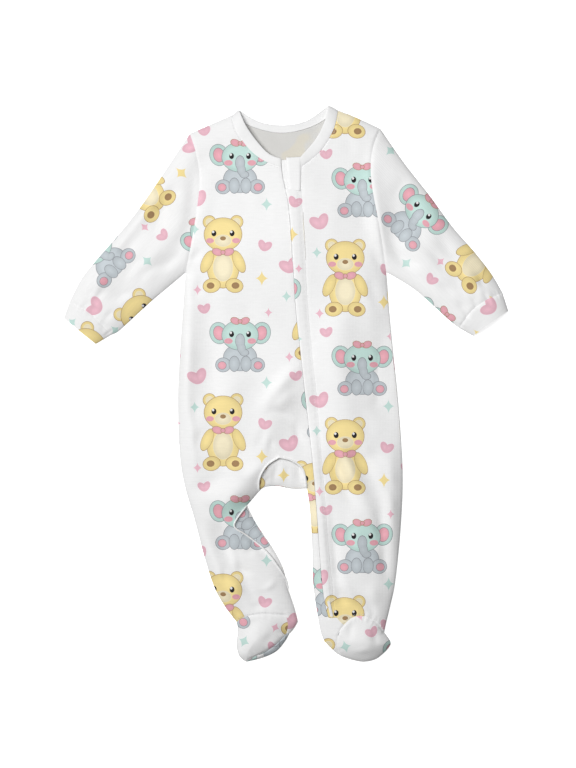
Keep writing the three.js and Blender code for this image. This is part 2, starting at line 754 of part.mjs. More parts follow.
// Gussets: the crotch piece in the arch, and the inner strip of the left leg
const gussetTop = (x, y) =>
  EDGE_TOP + (GUSSET_LOFT + foldHeight(x, y) * GUSSET_FOLD_SHARE) * roundOver(inside(x, y), EDGE_ROUND);
const archOver = join([...line(CROTCH.archLeft, 4)].reverse(), line(CROTCH.archRight, 4));
const crotchPlan = grid(
  archOver,
  hem,
  straight(archOver[0], hem[0], 4),
  straight(archOver[8], hem[8], 4),
);
piece("crotch_gusset", wall(layer(crotchPlan, gussetTop)));

const legGusset = legSeam
  .map((p) => straight(p, at(LEFT_LEG, "inner", p.y), 3))
  .filter(([seam, , , edge]) => edge.x - seam.x > GUSSET_NARROWEST);
piece("leg_gusset_left", wall(layer(legGusset, gussetTop)));

// Left foot, on its side: the upper folds round the toe edge, the sole round the other edge
const soleSeam = line(LEFT_FOOT.soleSeam, 8);
const soleOutline = line(LEFT_FOOT.soleOutline, 8);
const toeTip = straight(soleSeam[8], soleOutline[8], 7);
const vampLeft = grid(
  [...vampSeamLeft].reverse(),
  toeTip,
  join(heel, soleSeam),
  line(LEFT_FOOT.toe, 10),
);
piece("vamp_left", wall(folded(vampLeft, CLOTH, false)));
const soleLeft = soleSeam.map((p, i) => {
  const edge = soleOutline[i];
  return straight(p.clone().lerp(edge, SOLE_CLEAR), edge, 3);
});
piece("sole_left", wall(folded(soleLeft, CLOTH, false)));

// Right foot: upper over a flat sole
const outerSide = line(RIGHT_FOOT.outerSide, 6);
const vampRight = grid(vampSeamRight, line(RIGHT_FOOT.toe, 13), vampSide, outerSide);
piece("vamp_right", wall(layer(vampRight, frontTop)));
const soleOutlineRight = join(
  straight(at(BODY, "right", heelY), at(RIGHT_LEG, "inner", heelY), 1),
  down(RIGHT_LEG, "inner", heelY, -283.6, 6),
  line([[50.9, -283.6], [58.6, -288.6]], 1),
  line(RIGHT_FOOT.toe, 10),
  [...line(RIGHT_FOOT.outerSide, 5)].reverse(),
  down(BODY, "right", -263.4, heelY, 2),
);
piece("sole_right", plate(soleOutlineRight));

export default suit;
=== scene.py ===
"""A footed baby sleepsuit of printed cotton, laid flat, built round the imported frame.

Plans are in millimetres in the frame's own axes: +X to the right as one looks at the front,
+Y to the neck, +Z up from the surface. Left and right are as seen from the front.
"""

import math
from itertools import groupby

import bmesh
import bpy
import numpy as np
from bpy.props import FloatProperty, FloatVectorProperty, PointerProperty
from mathutils import Matrix, Vector


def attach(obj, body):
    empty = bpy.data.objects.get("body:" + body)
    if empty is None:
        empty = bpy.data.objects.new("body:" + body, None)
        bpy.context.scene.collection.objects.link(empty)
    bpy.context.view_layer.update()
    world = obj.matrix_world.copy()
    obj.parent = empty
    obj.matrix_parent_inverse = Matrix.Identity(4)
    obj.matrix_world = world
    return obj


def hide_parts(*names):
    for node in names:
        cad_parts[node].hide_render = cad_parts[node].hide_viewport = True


bl_info = {
    "name": "Footed baby sleepsuit",
    "version": (1, 0, 0),
    "blender": (4, 5, 0),
    "location": "3D View > Sidebar > Sleepsuit",
    "description": "Builds a printed cotton sleepsuit with feet and a zip, laid flat",
    "category": "Add Mesh",
}

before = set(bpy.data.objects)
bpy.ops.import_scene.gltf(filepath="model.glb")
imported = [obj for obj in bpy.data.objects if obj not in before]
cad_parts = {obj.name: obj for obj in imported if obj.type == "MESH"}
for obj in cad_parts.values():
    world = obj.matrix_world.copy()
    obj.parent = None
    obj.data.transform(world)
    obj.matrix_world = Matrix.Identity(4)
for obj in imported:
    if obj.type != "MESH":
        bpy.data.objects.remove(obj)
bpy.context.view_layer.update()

MM = 0.001

# Heights of the lay and the breadths of its rounded edges, in mm
EDGE_MID = 2.3
EDGE_TOP = 3.4
LOFT = 5.8
LEAST_LOFT = 0.6
EDGE_ROUND = 24
EDGE_POWER = 0.72
UNDER_ROUND = 5
GUSSET_DROP = 1.3
ALLOWANCE = 1.6

# Neckband: how far it stands over the front, its crown and its rest on the back in mm, and how
# far it turns at each shoulder, in radians
BAND_PROUD = 0.5
BAND_CROWN = 0.6
BAND_REST = 0.05
BAND_TURN = 1.2

# Distance in metres under which two points are one
MERGE = 0.00001

# Seams: where the grooves fade out at the outline, where the puckers lie beside a seam, their
# breadth and how they drift along it, in mm and shares
SEAM_FADE = 3
PUCKER_AWAY = 2.5
PUCKER_BREADTH = 2.6
PUCKER_DRIFT = 1.7
PUCKER_SWAY = 1.3

# Gussets, rolled seams and stitches, in mm; a stitch's pitch is a share of its length
GUSSET_LEAST = 1.2
ROLL_SINK = 0.5
ROLL_BREADTH = 1.9
ROLL_HEIGHT = 1.1
LEG_ROLL_HEIGHT = 1.0
STITCH_INSET = 1.8
STITCH_PITCH = 1.25

# Flap over the zip and its stitches, in mm and in shares of its width
FLAP_TOP_Y = 205
FLAP_END_Y = -247
FLAP_CLEAR = 0.3
FLAP_OVER = 1.5
FLAP_DIP = 0.8
FLAP_PROUD = 0.6
FLAP_CROWN = 0.9
FLAP_GROOVE = 0.35
FLAP_ROUND_SHARE = 0.12
FLAP_STITCH_SHARE = 0.84
FLAP_GROOVE_SHARE = 0.07
STITCH_TOP_Y = 200
STITCH_END_Y = -224

# Chin guard, in mm
GUARD_PROUD = 1.3
GUARD_RIM = -0.4
GUARD_ROUND = 2.2

# Tape, coil and stop of the zip, in mm
TAPE_UNDER_FRONT = 4
TAPE_DROP = 2.0
TAPE_TOP_Y = 236
TAPE_END_Y = -226
TAPE_RISE_Y = 196
TAPE_RISE_RUN = 20
TAPE_RISE = 1.6
COIL_END_Y = 224
COIL_PITCH = 1.6
COIL_RISE = 0.35
COIL_SIDE = 0.9
COIL_TURN = (2.6, 0.5, 0.5)
STOP_TOP_Y = -230
STOP_END_Y = -246
STOP_HALF = 1.7
STOP_CROWN = 0.8
STOP_SINK = 0.1

# Walls of the small pieces, in metres
TAPE_WALL = 0.0007
STOP_WALL = 0.0009
ROLL_WALL = 0.0005


def table(names, rows):
    """Rows of numbers as rows with named columns."""
    keys = names.split()
    return [dict(zip(keys, row)) for row in rows]


# Body sections from the neck to the ankles: outer edges and the two sides of the zip's gap
BODY = table("y left gap stitch right", [
    [228.4, -92.4, -5.3, 15.4, 90.1],
    [215, -91.4, -3.2, 15.4, 90.2],
    [190, -93.4, 2, 16.1, 93],
    [160, -98, 5, 17.8, 99.8],
    [118, -106, 7.6, 20.2, 106],
    [78, -109.2, 10.1, 22.7, 109.1],
    [33, -112.4, 15, 26.8, 113.4],
    [-17, -114.5, 20.5, 31.8, 118.5],
    [-78, -112.2, 27.2, 36.9, 122.9],
    [-109, -107, 30.1, 39.4, 123.5],
    [-145, -96.5, 32.9, 42.2, 121.9],
    [-185, -85.9, 35.6, 45.5, 118.5],
    [-217, -75.3, 38.5, 48.6, 114.5],
    [-236, -64.7, 41.5, 50.2, 110.2],
    [-247, -56.6, 44.6, 53, 107.6],
    [-252.5, -52.3, 46, 57, 106.2],
    [-263.4, -50.4, 50, 62, 103.9],
])

# Inner lines of the two legs; the seam is where the front meets the gusset of the left leg
LEFT_LEG = table("y inner seam", [
    [-129, -41.3, -41.3],
    [-144, -34, -52.6],
    [-152, -29.2, -54.1],
    [-160, -23.8, -42.4],
    [-176, -13.2, -22.3],
    [-193.5, -4, -8.5],
    [-208, 0.2, 0],
    [-217, 2.1, 2.1],
    [-236, 8.5, 8.5],
    [-251.8, 12.7, 12.7],
])
RIGHT_LEG = table("y inner", [
    [-111, 22.3],
    [-134, 25.4],
    [-171, 27.6],
    [-210, 28.6],
    [-242, 32.9],
    [-270, 39.2],
    [-283.6, 50.9],
])

# Sleeve sections from the armhole to the cuff seam, then the end of the cuff
SLEEVE = {
    "left": table("upperX upperY lowerX lowerY", [
        [-101.8, 264.5, -106, 118],
        [-126, 228, -122, 104.5],
        [-154.8, 186, -140.5, 89],
        [-180, 154.5, -156, 75],
        [-201, 130.5, -168, 63.8],
        [-217, 110, -178, 55],
        [-229, 86.4, -185.5, 51.4],
        [-235.2, 69.4, -201.4, 41.9],
    ]),
    "right": table("upperX upperY lowerX lowerY", [
        [99.6, 269.8, 106, 118],
        [124.5, 234, 121, 109.5],
        [152.6, 198, 137, 99],
        [176, 166, 151, 87],
        [200, 138.5, 163, 76],
        [217.3, 116.1, 174, 66],
        [229, 95.9, 183.4, 58.8],
        [235.2, 76.9, 198.2, 50.4],
    ]),
}
CUFF_SEAM = {
    "left": [[-185.5, 51.4], [-199.3, 67.3], [-212.6, 77.5], [-229, 86.4]],
    "right": [[183.4, 58.8], [196.1, 76.9], [212, 88.5], [229, 95.9]],
}

# Armholes from the underarm to the shoulder, and the shoulder lines
ARMHOLE = {
    "left": [[-106, 118], [-97.8, 162], [-91.4, 211], [-94.6, 241], [-101.8, 264.5]],
    "right": [[106, 118], [99.6, 160], [90, 214], [91.2, 246], [99.6, 269.8]],
}
SHOULDER = {
    "left": [[-101.8, 264.5], [-77.4, 275.3], [-57.2, 284.1]],
    "right": [[99.6, 269.8], [75.3, 281.2], [55.1, 289.4]],
}

# Neck lines: the seam is where the band meets the body, the fold is the band's free edge
NECK = {
    "leftSeam": [[-57.2, 284.1], [-53, 268], [-40.3, 249], [-24, 235.6], [-5.3, 228.4]],
    "leftFold": [[-49.8, 289.9], [-43, 273.5], [-30.6, 255.6], [-18, 242.4], [-5.8, 237.4]],
    "backSeam": [[-57.2, 284.1], [-36, 271.8], [-4, 265.2], [28.6, 272.5], [55.1, 289.4]],
    "backFold": [[-49.8, 289.9], [-28.2, 277.4], [-3, 273.7], [22, 278.6], [45.1, 294.7]],
    "rightSeam": [[55.1, 289.4], [50, 268], [36, 245.5], [15.4, 228.4]],
    "rightFold": [[45.1, 294.7], [41.6, 279.1], [31.8, 258.7], [15.6, 239.4]],
}

# Crotch: the arch is the front's lower edge, the hem is the garment's outline below it
CROTCH = {
    "top": [-7.4, -78],
    "archLeft": [[-7.4, -78], [-20.1, -86.5], [-28.1, -100.5], [-28.6, -114]],
    "archRight": [[-7.4, -78], [6, -81.4], [18, -90.8], [22.3, -111]],
    "thigh": [[-28.6, -114], [-34.5, -121], [-41.3, -129]],
    "hem": [[-28.6, -114], [-22.5, -109.6], [-9, -108.6], [6, -111.2], [22.3, -111]],
}

# Feet: the left one lies on its side, the right one shows its upper
LEFT_FOOT = {
    "seam": [[-52.3, -252.5], [-44.5, -247], [-26, -243.4], [0, -244.9]],
    "heel": [[0, -244.9], [2, -255], [0.6, -264]],
    "heelOutline": [[12.7, -251.8], [8.6, -259], [3.6, -264.6], [0.6, -264]],
    "toe": [[-52.3, -252.5], [-50.8, -262], [-52.5, -276], [-49.4, -288.4], [-42.4, -294.6]],
    "soleSeam": [[0.6, -264], [-8, -273], [-19.1, -281.6], [-33.4, -289], [-40, -292.6]],
    "soleOutline": [
        [3.6, -264.6], [-1.1, -272.9], [-10.6, -283.6], [-25.4, -290.4], [-42.4, -294.6]
    ],
}
RIGHT_FOOT = {
    "arch": [
        [61.1, -254.9], [67.8, -248.6], [76.3, -245.4], [86, -247], [96, -253.4], [103.9, -263.4]
    ],
    "side": [[61.1, -254.9], [55.2, -264.4], [54.1, -277.2], [58.6, -288.6]],
    "outerSide": [[103.9, -263.4], [110.8, -274.5], [106, -283]],
    "toe": [[58.6, -288.6], [70, -292.6], [82.7, -294.5], [95.4, -291.5], [106, -283]],
    "zipFoot": [[53.6, -247.2], [57, -251.3], [61.1, -254.9]],
}

# Fold of the right foot's inner side, from the leg to the toe
TOE_CORNER = [[50.9, -283.6], [54.6, -286.4], [58.6, -288.6]]

# Levels where lines start or stop: neck, underarm, crotch, ankles, heels and toe
NECK_Y = 228.4
UNDERARM_Y = 118
RIGHT_CROTCH_Y = -111
THIGH_Y = -129
GUSSET_END_Y = -217
SEWN_END_Y = -236
FRONT_END_Y = -240
ZIP_END_Y = -247
LEFT_HEEL_Y = -251.8
LEFT_ANKLE_Y = -252.5
HEEL_Y = -257
RIGHT_ANKLE_Y = -263.4
RIGHT_TOE_Y = -283.6

# Corners of the chin guard
GUARD = [[0, 238.5], [16.6, 239.5], [15.8, 202], [3.4, 202]]

# Large soft folds of the front layer and its fullness over the body, knee, sleeves and feet:
# centre, direction in degrees, full length, breadth, height, and how far the line bows
FOLDS = table("x y angle length breadth height bow", [
    [-3, -18, 41, 36, 7, 2.1, 0],
    [-31, -91, 40, 46, 8, 2.7, 0],
    [-16, -64, 88, 22, 4, -1.2, 0],
    [-97, -30, 90, 46, 6, -1.35, 0],
    [-69, -115, 18, 44, 14, 1.8, 0],
    [-66, -166, -51, 60, 9, -2.1, 0],
    [-57, -166, -70, 30, 5, 1.95, 0],
    [-53, -214, -60, 26, 6, 1.8, 0],
    [-28, -226, 12, 30, 7, -1.2, 0],
    [52, -83, -78, 54, 7, -1.8, 0],
    [93, -77, -35, 28, 6, -1.5, 0],
    [84, -140, -68, 60, 12, 1.35, 0],
    [60, -225, -50, 26, 6, -1.8, 0],
    [92, -222, -60, 32, 7, 1.35, 0],
    [104, 20, 88, 80, 9, -1.5, 0],
    [-103, 60, 86, 60, 8, -1.35, 0],
    [-112, 152, 62, 46, 7, -1.65, 0],
    [110, 156, 118, 46, 7, -1.65, 0],
    [-84, 236, 70, 50, 9, -1.35, 0],
    [84, 240, 108, 50, 9, -1.35, 0],
    [-146, 146, 48, 70, 10, 1.35, 0],
    [150, 150, 132, 70, 10, 1.35, 0],
    [-178, 96, 52, 40, 7, -1.35, 0],
    [181, 104, 128, 40, 7, -1.35, 0],
    [-40, 140, 68, 70, 16, 1.05, 0],
    [60, 60, 96, 90, 16, 0.9, 0],
    [-52, 10, 112, 70, 15, 0.9, 0],
    [-212, 82, 54, 16, 3, -1.2, 0],
    [-203, 76, 54, 16, 3, -1.2, 0],
    [211, 92, 124, 16, 3, -1.2, 0],
    [200, 86, 124, 16, 3, -1.2, 0],
    [-5, -5, 50, 88, 7.5, 3.6, 3],
    [2, -12, 50, 110, 18, 2.4, 0],
    [20, -44, 84, 124, 24, -4.8, 0],
    [-23, -60, 64, 76, 12, 2.8, 0],
    [-50, -110, 42, 84, 13, 3.0, -3],
    [-80, -106, 22, 68, 8, -2.6, 0],
    [-62, -78, 36, 80, 10, -2.2, -3],
    [-59, -127, 30, 70, 13, 3.0, 0],
    [-36, -167, -50, 70, 5.5, -4.0, 3],
    [-64, -176, -60, 96, 12, -4.0, 0],
    [-59, -219, -62, 60, 5.5, 2.2, 0],
    [-40, -216, -66, 60, 6, -1.6, 0],
    [-84, 36, 90, 200, 15, -3.8, 0],
    [-105, 30, 88, 230, 7.5, 4.2, 0],
    [-75, -192, -69, 116, 7, 2.2, 0],
    [-99, -60, 94, 110, 5, 2.0, 0],
    [65, -92, -63, 126, 7, 4.2, 3],
    [55, -96, -62, 92, 5.5, -3.4, 0],
    [48, -83, -76, 88, 4.5, 1.6, 0],
    [84, -90, -58, 96, 8, -3.2, 4],
    [96, -104, -66, 90, 7, 1.8, 3],
    [108, -20, -80, 210, 24, -5.0, 0],
    [78, 6, -30, 64, 10, -2.2, 0],
    [110, 60, 86, 150, 20, -3.4, 0],
    [8, 165, 88, 220, 52, 6.0, 0],
    [54, 4, -80, 220, 22, 3.4, 0],
    [-44, 14, 92, 150, 28, -2.6, 0],
    [52, -182, -84, 150, 6, -3.0, 0],
    [26, -178, -85, 140, 5, 4.6, 0],
    [64, -219, -50, 48, 6, 2.0, 0],
    [76, -170, -80, 110, 9, 2.0, 0],
    [103, -158, -85, 150, 9, -2.6, 0],
    [112, -124, -89, 170, 7, 2.4, 0],
    [-98, 190, 85, 150, 9, -3.6, 0],
    [95, 188, 97, 150, 9, 2.8, 0],
    [118, 164, 97, 110, 10, -2.4, 0],
    [-143, 168, 52, 150, 9, -3.0, 2],
    [-155, 175, 52, 150, 6, 3.6, 0],
    [148, 170, -52, 150, 9, -2.6, -2],
    [-137, 122, 42, 90, 9, -1.6, 0],
    [130, 124, -42, 90, 9, -2.8, 0],
    [-196, 108, 54, 60, 7, 1.8, 2],
    [196, 112, -52, 60, 7, 1.8, -2],
    [52, 150, 96, 120, 18, 2.0, 0],
    [22, 24, 84, 130, 14, -1.8, 0],
    [60, 56, 66, 90, 16, 1.8, 4],
    [-56, -14, 60, 90, 14, 1.8, 4],
    [-60, 205, 20, 90, 14, -1.4, 3],
    [60, 214, -20, 90, 14, -1.4, -3],
    [-28, -268, 50, 84, 19, 3.6, 0],
    [84, -274, 0, 88, 17, 5.0, 0],
    [-72, -118, 20, 76, 24, 1.4, 0],
    [84, -180, 84, 150, 26, 1.0, 0],
    [-150, 150, 50, 190, 30, 0.8, 0],
    [150, 155, 130, 190, 30, 0.8, 0],
])

# Smaller creases, soft hollows and ridges: the same columns as the folds
CREASES = table("x y angle length breadth height bow", [
    [-128, 160, 54, 90, 9, -1.3, 6],
    [-146, 134, 44, 70, 8, 1.1, -4],
    [128, 164, 126, 90, 9, -1.3, -6],
    [146, 140, 136, 70, 8, 1.1, 4],
    [-6, -34, -24, 34, 4, -0.9, 3],
    [14, -52, -70, 30, 3.5, -0.8, -2],
    [-30, -58, -112, 40, 5, -1.0, 4],
    [-52, -92, -40, 36, 5, 0.9, -3],
    [-88, -62, 62, 40, 6, -0.7, 5],
    [-74, -140, -36, 40, 6, -1.2, 4],
    [-58, -184, -74, 44, 4, 1.1, 3],
    [-44, -196, -30, 26, 4, -0.9, -2],
    [-36, -178, 24, 24, 4, -0.8, 2],
    [-62, -206, -78, 34, 3.5, -1.0, -3],
    [-24, -236, 14, 34, 4, -0.9, 3],
    [-18, -212, 36, 26, 3.5, 0.8, -2],
    [-34, -258, 66, 26, 5, -0.9, 4],
    [-46, -272, 84, 24, 3.5, -1.2, 2],
    [-48, -280, 70, 16, 2.5, -1.2, 1],
    [-20, -268, 40, 24, 5, -0.7, -2],
    [98, -150, -80, 60, 6, -0.9, 3],
    [108, -112, -60, 34, 5, -0.9, 3],
    [106, -190, -84, 50, 5, -0.9, -2],
    [88, -238, -58, 30, 4, -0.8, 2],
    [70, -262, 80, 26, 4, -0.7, 2],
    [92, -268, 104, 26, 4, -0.8, -2],
    [80, -284, 6, 34, 3.5, 0.7, 2],
    [44, -60, -76, 40, 4, -0.7, 2],
    [78, -40, -62, 60, 8, -0.6, 4],
    [96, -8, 80, 50, 6, -0.8, -3],
    [64, 10, 84, 90, 12, 0.5, 5],
    [70, 120, 104, 80, 12, 0.6, -5],
    [96, 96, 112, 50, 6, -0.9, 3],
    [100, 132, 132, 34, 5, -1.1, 3],
    [86, 172, 122, 50, 8, -0.7, 4],
    [56, 196, 86, 60, 10, 0.5, 3],
    [70, 250, 108, 40, 7, -0.6, 3],
    [-96, 100, 70, 50, 6, -0.9, -3],
    [-98, 136, 48, 34, 5, -1.1, -3],
    [-84, 176, 60, 50, 8, -0.7, -4],
    [-60, 96, 64, 90, 12, 0.5, 5],
    [-34, 66, 98, 80, 10, -0.5, 4],
    [-78, 24, 88, 70, 8, -0.6, -3],
    [-62, 206, 96, 60, 10, 0.5, -3],
    [-70, 248, 76, 40, 7, -0.6, -3],
    [-20, 190, 82, 60, 8, -0.4, 2],
    [-118, 206, 128, 44, 7, -0.8, 3],
    [-130, 176, 62, 50, 7, -1.0, 4],
    [-124, 132, 40, 50, 6, -1.2, -4],
    [-140, 112, 34, 36, 5, 0.9, 3],
    [-154, 166, 232, 60, 9, 0.7, 5],
    [-158, 122, 48, 50, 5, -1.0, 4],
    [-174, 140, 52, 50, 6, -0.8, -4],
    [-170, 92, 30, 30, 4, -0.9, 2],
    [-190, 108, 50, 44, 6, 0.7, 4],
    [-196, 92, 46, 26, 3.5, -0.9, 2],
    [-206, 98, 60, 22, 3, -0.8, -1],
    [-186, 72, 44, 22, 3, -0.8, 1],
    [-222, 84, 54, 14, 2.6, -0.6, 0],
    [-193, 62, 52, 14, 2.4, -0.7, 0],
    [118, 208, 52, 44, 7, -0.8, -3],
    [130, 180, 118, 50, 7, -1.0, -4],
    [126, 136, 140, 50, 6, -1.2, 4],
    [142, 116, 146, 36, 5, 0.9, -3],
    [154, 170, -52, 60, 9, 0.7, -5],
    [158, 128, 132, 50, 5, -1.0, -4],
    [174, 146, 128, 50, 6, -0.8, 4],
    [168, 98, 150, 30, 4, -0.9, -2],
    [190, 116, 130, 44, 6, 0.7, -4],
    [196, 100, 134, 26, 3.5, -0.9, -2],
    [207, 108, 120, 22, 3, -0.8, 1],
    [186, 80, 136, 22, 3, -0.8, -1],
    [221, 94, 126, 14, 2.6, -0.6, 0],
    [191, 72, 128, 14, 2.4, -0.7, 0],
])
# Hollows and ridges of the gussets' own loose cloth: the same columns as the folds
GUSSET_CREASES = table("x y angle length breadth height bow", [
    [-11, -97, 82, 34, 2.4, -1.3, 1],
    [-5, -95, 86, 36, 2.4, 1.0, -1],
    [13, -96, 100, 34, 2.2, -1.2, -1],
    [7, -99, 94, 30, 2.2, 0.8, 1],
    [20, -98, 90, 80, 26, -3.4, 0],
    [-20, -104, 60, 20, 2.2, -0.9, 1],
    [-30, -152, -48, 40, 3, -1.0, 2],
    [-14, -180, -52, 40, 3, -0.9, -2],
    [-36, -148, -44, 30, 2.4, 0.8, 1],
])

# Waves of loose cloth: height, direction and period, and a second wave that sways each of them
WAVES = table("height x y period sway swayX swayY swayPeriod phase", [
    [0.10, 1, 0, 11, 1.3, 0, 1, 17, 0],
    [0.09, 0, 1, 13, 1.1, 1, 0, 19, 2],
    [0.05, 1, 1, 6.1, 2, 0, 1, 23, 0],
])


def even(t):
    """Even spacing."""
    return t


def close_first(t):
    """Spacing that is closer at the start, where cloth rounds over an edge."""
    return (t + 1 - math.cos(math.pi * t / 2)) / 2


def close_ends(t):
    """Spacing that is a little closer at both ends."""
    return mix(t, close_both(t), 0.7)


def close_both(t):
    """Spacing that is closer at both ends."""
    return (1 - math.cos(math.pi * t)) / 2


def mix(a, b, t):
    """Value between two values."""
    return a + (b - a) * t


def steps(count, spacing=even):
    """Shares from 0 to 1 in a number of steps."""
    return np.array([spacing(i / count) for i in range(count + 1)])


def line(points, count, spacing=even):
    """Smooth line through a few points, as points spaced along its length."""
    known = np.array(points, float)
    last = len(known) - 1
    t = np.linspace(0, last, 40 * last + 1)
    k = np.minimum(t.astype(int), last - 1)
    share = (t - k)[:, None]
    before, start = known[np.maximum(k - 1, 0)], known[k]
    end, after = known[k + 1], known[np.minimum(k + 2, last)]
    leave, arrive = (end - before) / 2, (after - start) / 2
    curve = (
        start
        + leave * share
        + (3 * (end - start) - 2 * leave - arrive) * share**2
        + (2 * (start - end) + leave + arrive) * share**3
    )
    return respaced(curve, count, spacing)


def column(rows, name, y):
    """Smooth value of one column of a table at a given y."""
    last = len(rows) - 2
    i = next((k for k in range(last + 1) if y >= rows[k + 1]["y"]), last)

    def row(k):
        return rows[min(max(k, 0), len(rows) - 1)]

    def slope(k):
        return (row(k + 1)[name] - row(k - 1)[name]) / (row(k + 1)["y"] - row(k - 1)["y"])

    span = rows[i + 1]["y"] - rows[i]["y"]
    t = min(max((y - rows[i]["y"]) / span, 0), 1)
    return (
        mix(rows[i][name], rows[i + 1][name], t * t * (3 - 2 * t))
        + span * t * (1 - t) * ((1 - t) * slope(i) - t * slope(i + 1))
    )


def at(rows, name, y):
    """Point of a column at one height."""
    return np.array([column(rows, name, y), y])


def down(rows, name, top, bottom, count, spacing=even):
    """Points down a column between two heights."""
    return np.array([at(rows, name, mix(top, bottom, t)) for t in steps(count, spacing)])


def join(*lines):
    """Lines end to end, each starting where the last one stopped."""
    return np.concatenate([lines[0], *[one[1:] for one in lines[1:]]])


def straight(a, b, count, spacing=even):
    """Points along a straight line."""
    return mix(np.array(a, float), np.array(b, float), steps(count, spacing)[:, None])


def respaced(points, count, spacing=even):
    """A line's own course with its points spaced anew."""
    run = np.concatenate([[0], np.cumsum(np.hypot(*np.diff(points, axis=0).T))])
    wanted = steps(count, spacing) * run[-1]
    return np.column_stack([np.interp(wanted, run, points[:, axis]) for axis in (0, 1)])


def grid(top, bottom, left, right, spacing=even):
    """Plan grid between four lines: top and bottom run left to right, the sides run down."""
    s = steps(len(top) - 1, spacing)[None, :, None]
    t = np.linspace(0, 1, len(left))[:, None, None]
    corners = mix(mix(top[0], top[-1], s), mix(bottom[0], bottom[-1], s), t)
    return mix(top[None], bottom[None], t) + mix(left[:, None], right[:, None], s) - corners


def shift(points, dx):
    """Points moved sideways."""
    return points + np.array([dx, 0])


def offset_line(points, distance):
    """A line moved to its left by a distance."""
    run = np.gradient(points, axis=0)
    run /= np.hypot(run[:, 0], run[:, 1])[:, None]
    return points + distance * np.column_stack([-run[:, 1], run[:, 0]])


def sleeve_edge(rows, side):
    """One edge of a sleeve as points."""
    return [[row[side + "X"], row[side + "Y"]] for row in rows]


edges = {
    (side, edge): (
        line(sleeve_edge(SLEEVE[side][:-1], edge), 72),
        straight(*sleeve_edge(SLEEVE[side][-2:], edge), 12),
    )
    for side in SLEEVE
    for edge in ("lower", "upper")
}
toe_left = line(LEFT_FOOT["toe"], 38)
sole_outline = line(LEFT_FOOT["soleOutline"], 28)
heel_outline = line(LEFT_FOOT["heelOutline"], 8)
# The garment's outline in plan
OUTLINE = [
    line(SHOULDER["left"], 12),
    line(SHOULDER["right"], 12),
    line([NECK["leftFold"][0], NECK["leftSeam"][0]], 1),
    line([NECK["rightFold"][0], NECK["rightSeam"][0]], 1),
    *[join(*parts) for parts in edges.values()],
    down(BODY, "left", UNDERARM_Y, LEFT_ANKLE_Y, 70),
    down(BODY, "right", UNDERARM_Y, RIGHT_ANKLE_Y, 70),
    line(CROTCH["hem"], 12),
    line(CROTCH["thigh"], 6),
    down(LEFT_LEG, "inner", THIGH_Y, LEFT_HEEL_Y, 30),
    heel_outline,
    sole_outline,
    toe_left,
    down(RIGHT_LEG, "inner", RIGHT_CROTCH_Y, RIGHT_TOE_Y, 40),
    line([TOE_CORNER[0], TOE_CORNER[-1]], 1),
    line(RIGHT_FOOT["toe"], 20),
    line(RIGHT_FOOT["outerSide"], 10),
]
# Seams in the front layer: line, depth of the groove, its breadth, height of the puckers beside
# it and their spacing
SEAMS = [
    (line(ARMHOLE["left"], 24), 0.7, 1.5, 0.16, 9),
    (line(ARMHOLE["right"], 24), 0.7, 1.5, 0.16, 10),
    (line(CUFF_SEAM["left"], 12), 0.8, 1.3, 0.30, 5.5),
    (line(CUFF_SEAM["right"], 12), 0.8, 1.3, 0.30, 5),
    (line(NECK["leftSeam"], 20), 0.5, 1.2, 0.14, 7),
    (line(NECK["rightSeam"], 20), 0.5, 1.2, 0.14, 7.5),
    (line(LEFT_FOOT["seam"], 14), 0.9, 1.3, 0.26, 6),
    (line(LEFT_FOOT["soleSeam"], 14), 0.8, 1.2, 0.26, 5),
    (line(RIGHT_FOOT["arch"], 20), 0.8, 1.3, 0.26, 5.5),
    (line(RIGHT_FOOT["side"], 12), 0.7, 1.2, 0.20, 5),
    (down(LEFT_LEG, "seam", THIGH_Y, GUSSET_END_Y, 16), -0.6, 1.0, 0.25, 6),
    (line(CROTCH["archLeft"], 12), -0.6, 1.0, 0.15, 6),
    (line(CROTCH["archRight"], 12), -0.6, 1.0, 0.15, 6),
    (down(BODY, "gap", NECK_Y, ZIP_END_Y, 60), 0.5, 1.6, 0.10, 8),
    (down(BODY, "stitch", FLAP_TOP_Y, SEWN_END_Y, 60), 0.3, 1.4, 0.14, 7),
]


def nearest(p, lines):
    """Distance from each point to the nearest of some lines, and how far along it lies."""
    flat = p.reshape(-1, 2)
    distance = np.full(len(flat), 1e9)
    along = np.zeros(len(flat))
    passed = 0.0
    for one in lines:
        for start, end in zip(one[:-1], one[1:]):
            run = end - start
            size = math.hypot(*run)
            offset = flat - start
            t = np.clip(offset @ run / max(size * size, 1e-9), 0, 1)
            gap = np.hypot(offset[:, 0] - t * run[0], offset[:, 1] - t * run[1])
            closer = gap < distance
            distance[closer] = gap[closer]
            along[closer] = passed + t[closer] * size
            passed += size
    return distance.reshape(p.shape[:-1]), along.reshape(p.shape[:-1])


def round_over(distance, breadth):
    """Share of a rounded edge's full height, from 0 at the outline to 1 past its breadth."""
    t = np.minimum(distance / breadth, 1)
    return np.maximum(1 - (1 - t) ** 2, 0) ** EDGE_POWER


def relief(p, rows):
    """Height that creases add at each point."""
    total = np.zeros(p.shape[:-1])
    for row in rows:
        turn = math.radians(row["angle"])
        dx, dy = p[..., 0] - row["x"], p[..., 1] - row["y"]
        along = (dx * math.cos(turn) + dy * math.sin(turn)) / (row["length"] / 2)
        bow = row["bow"] * (1 - along**2)
        across = (dy * math.cos(turn) - dx * math.sin(turn) - bow) / row["breadth"]
        taper = np.where(np.abs(along) < 1, np.cos(np.pi * along / 2) ** 2, 0)
        total += row["height"] * taper * np.exp(-across * across)
    return total


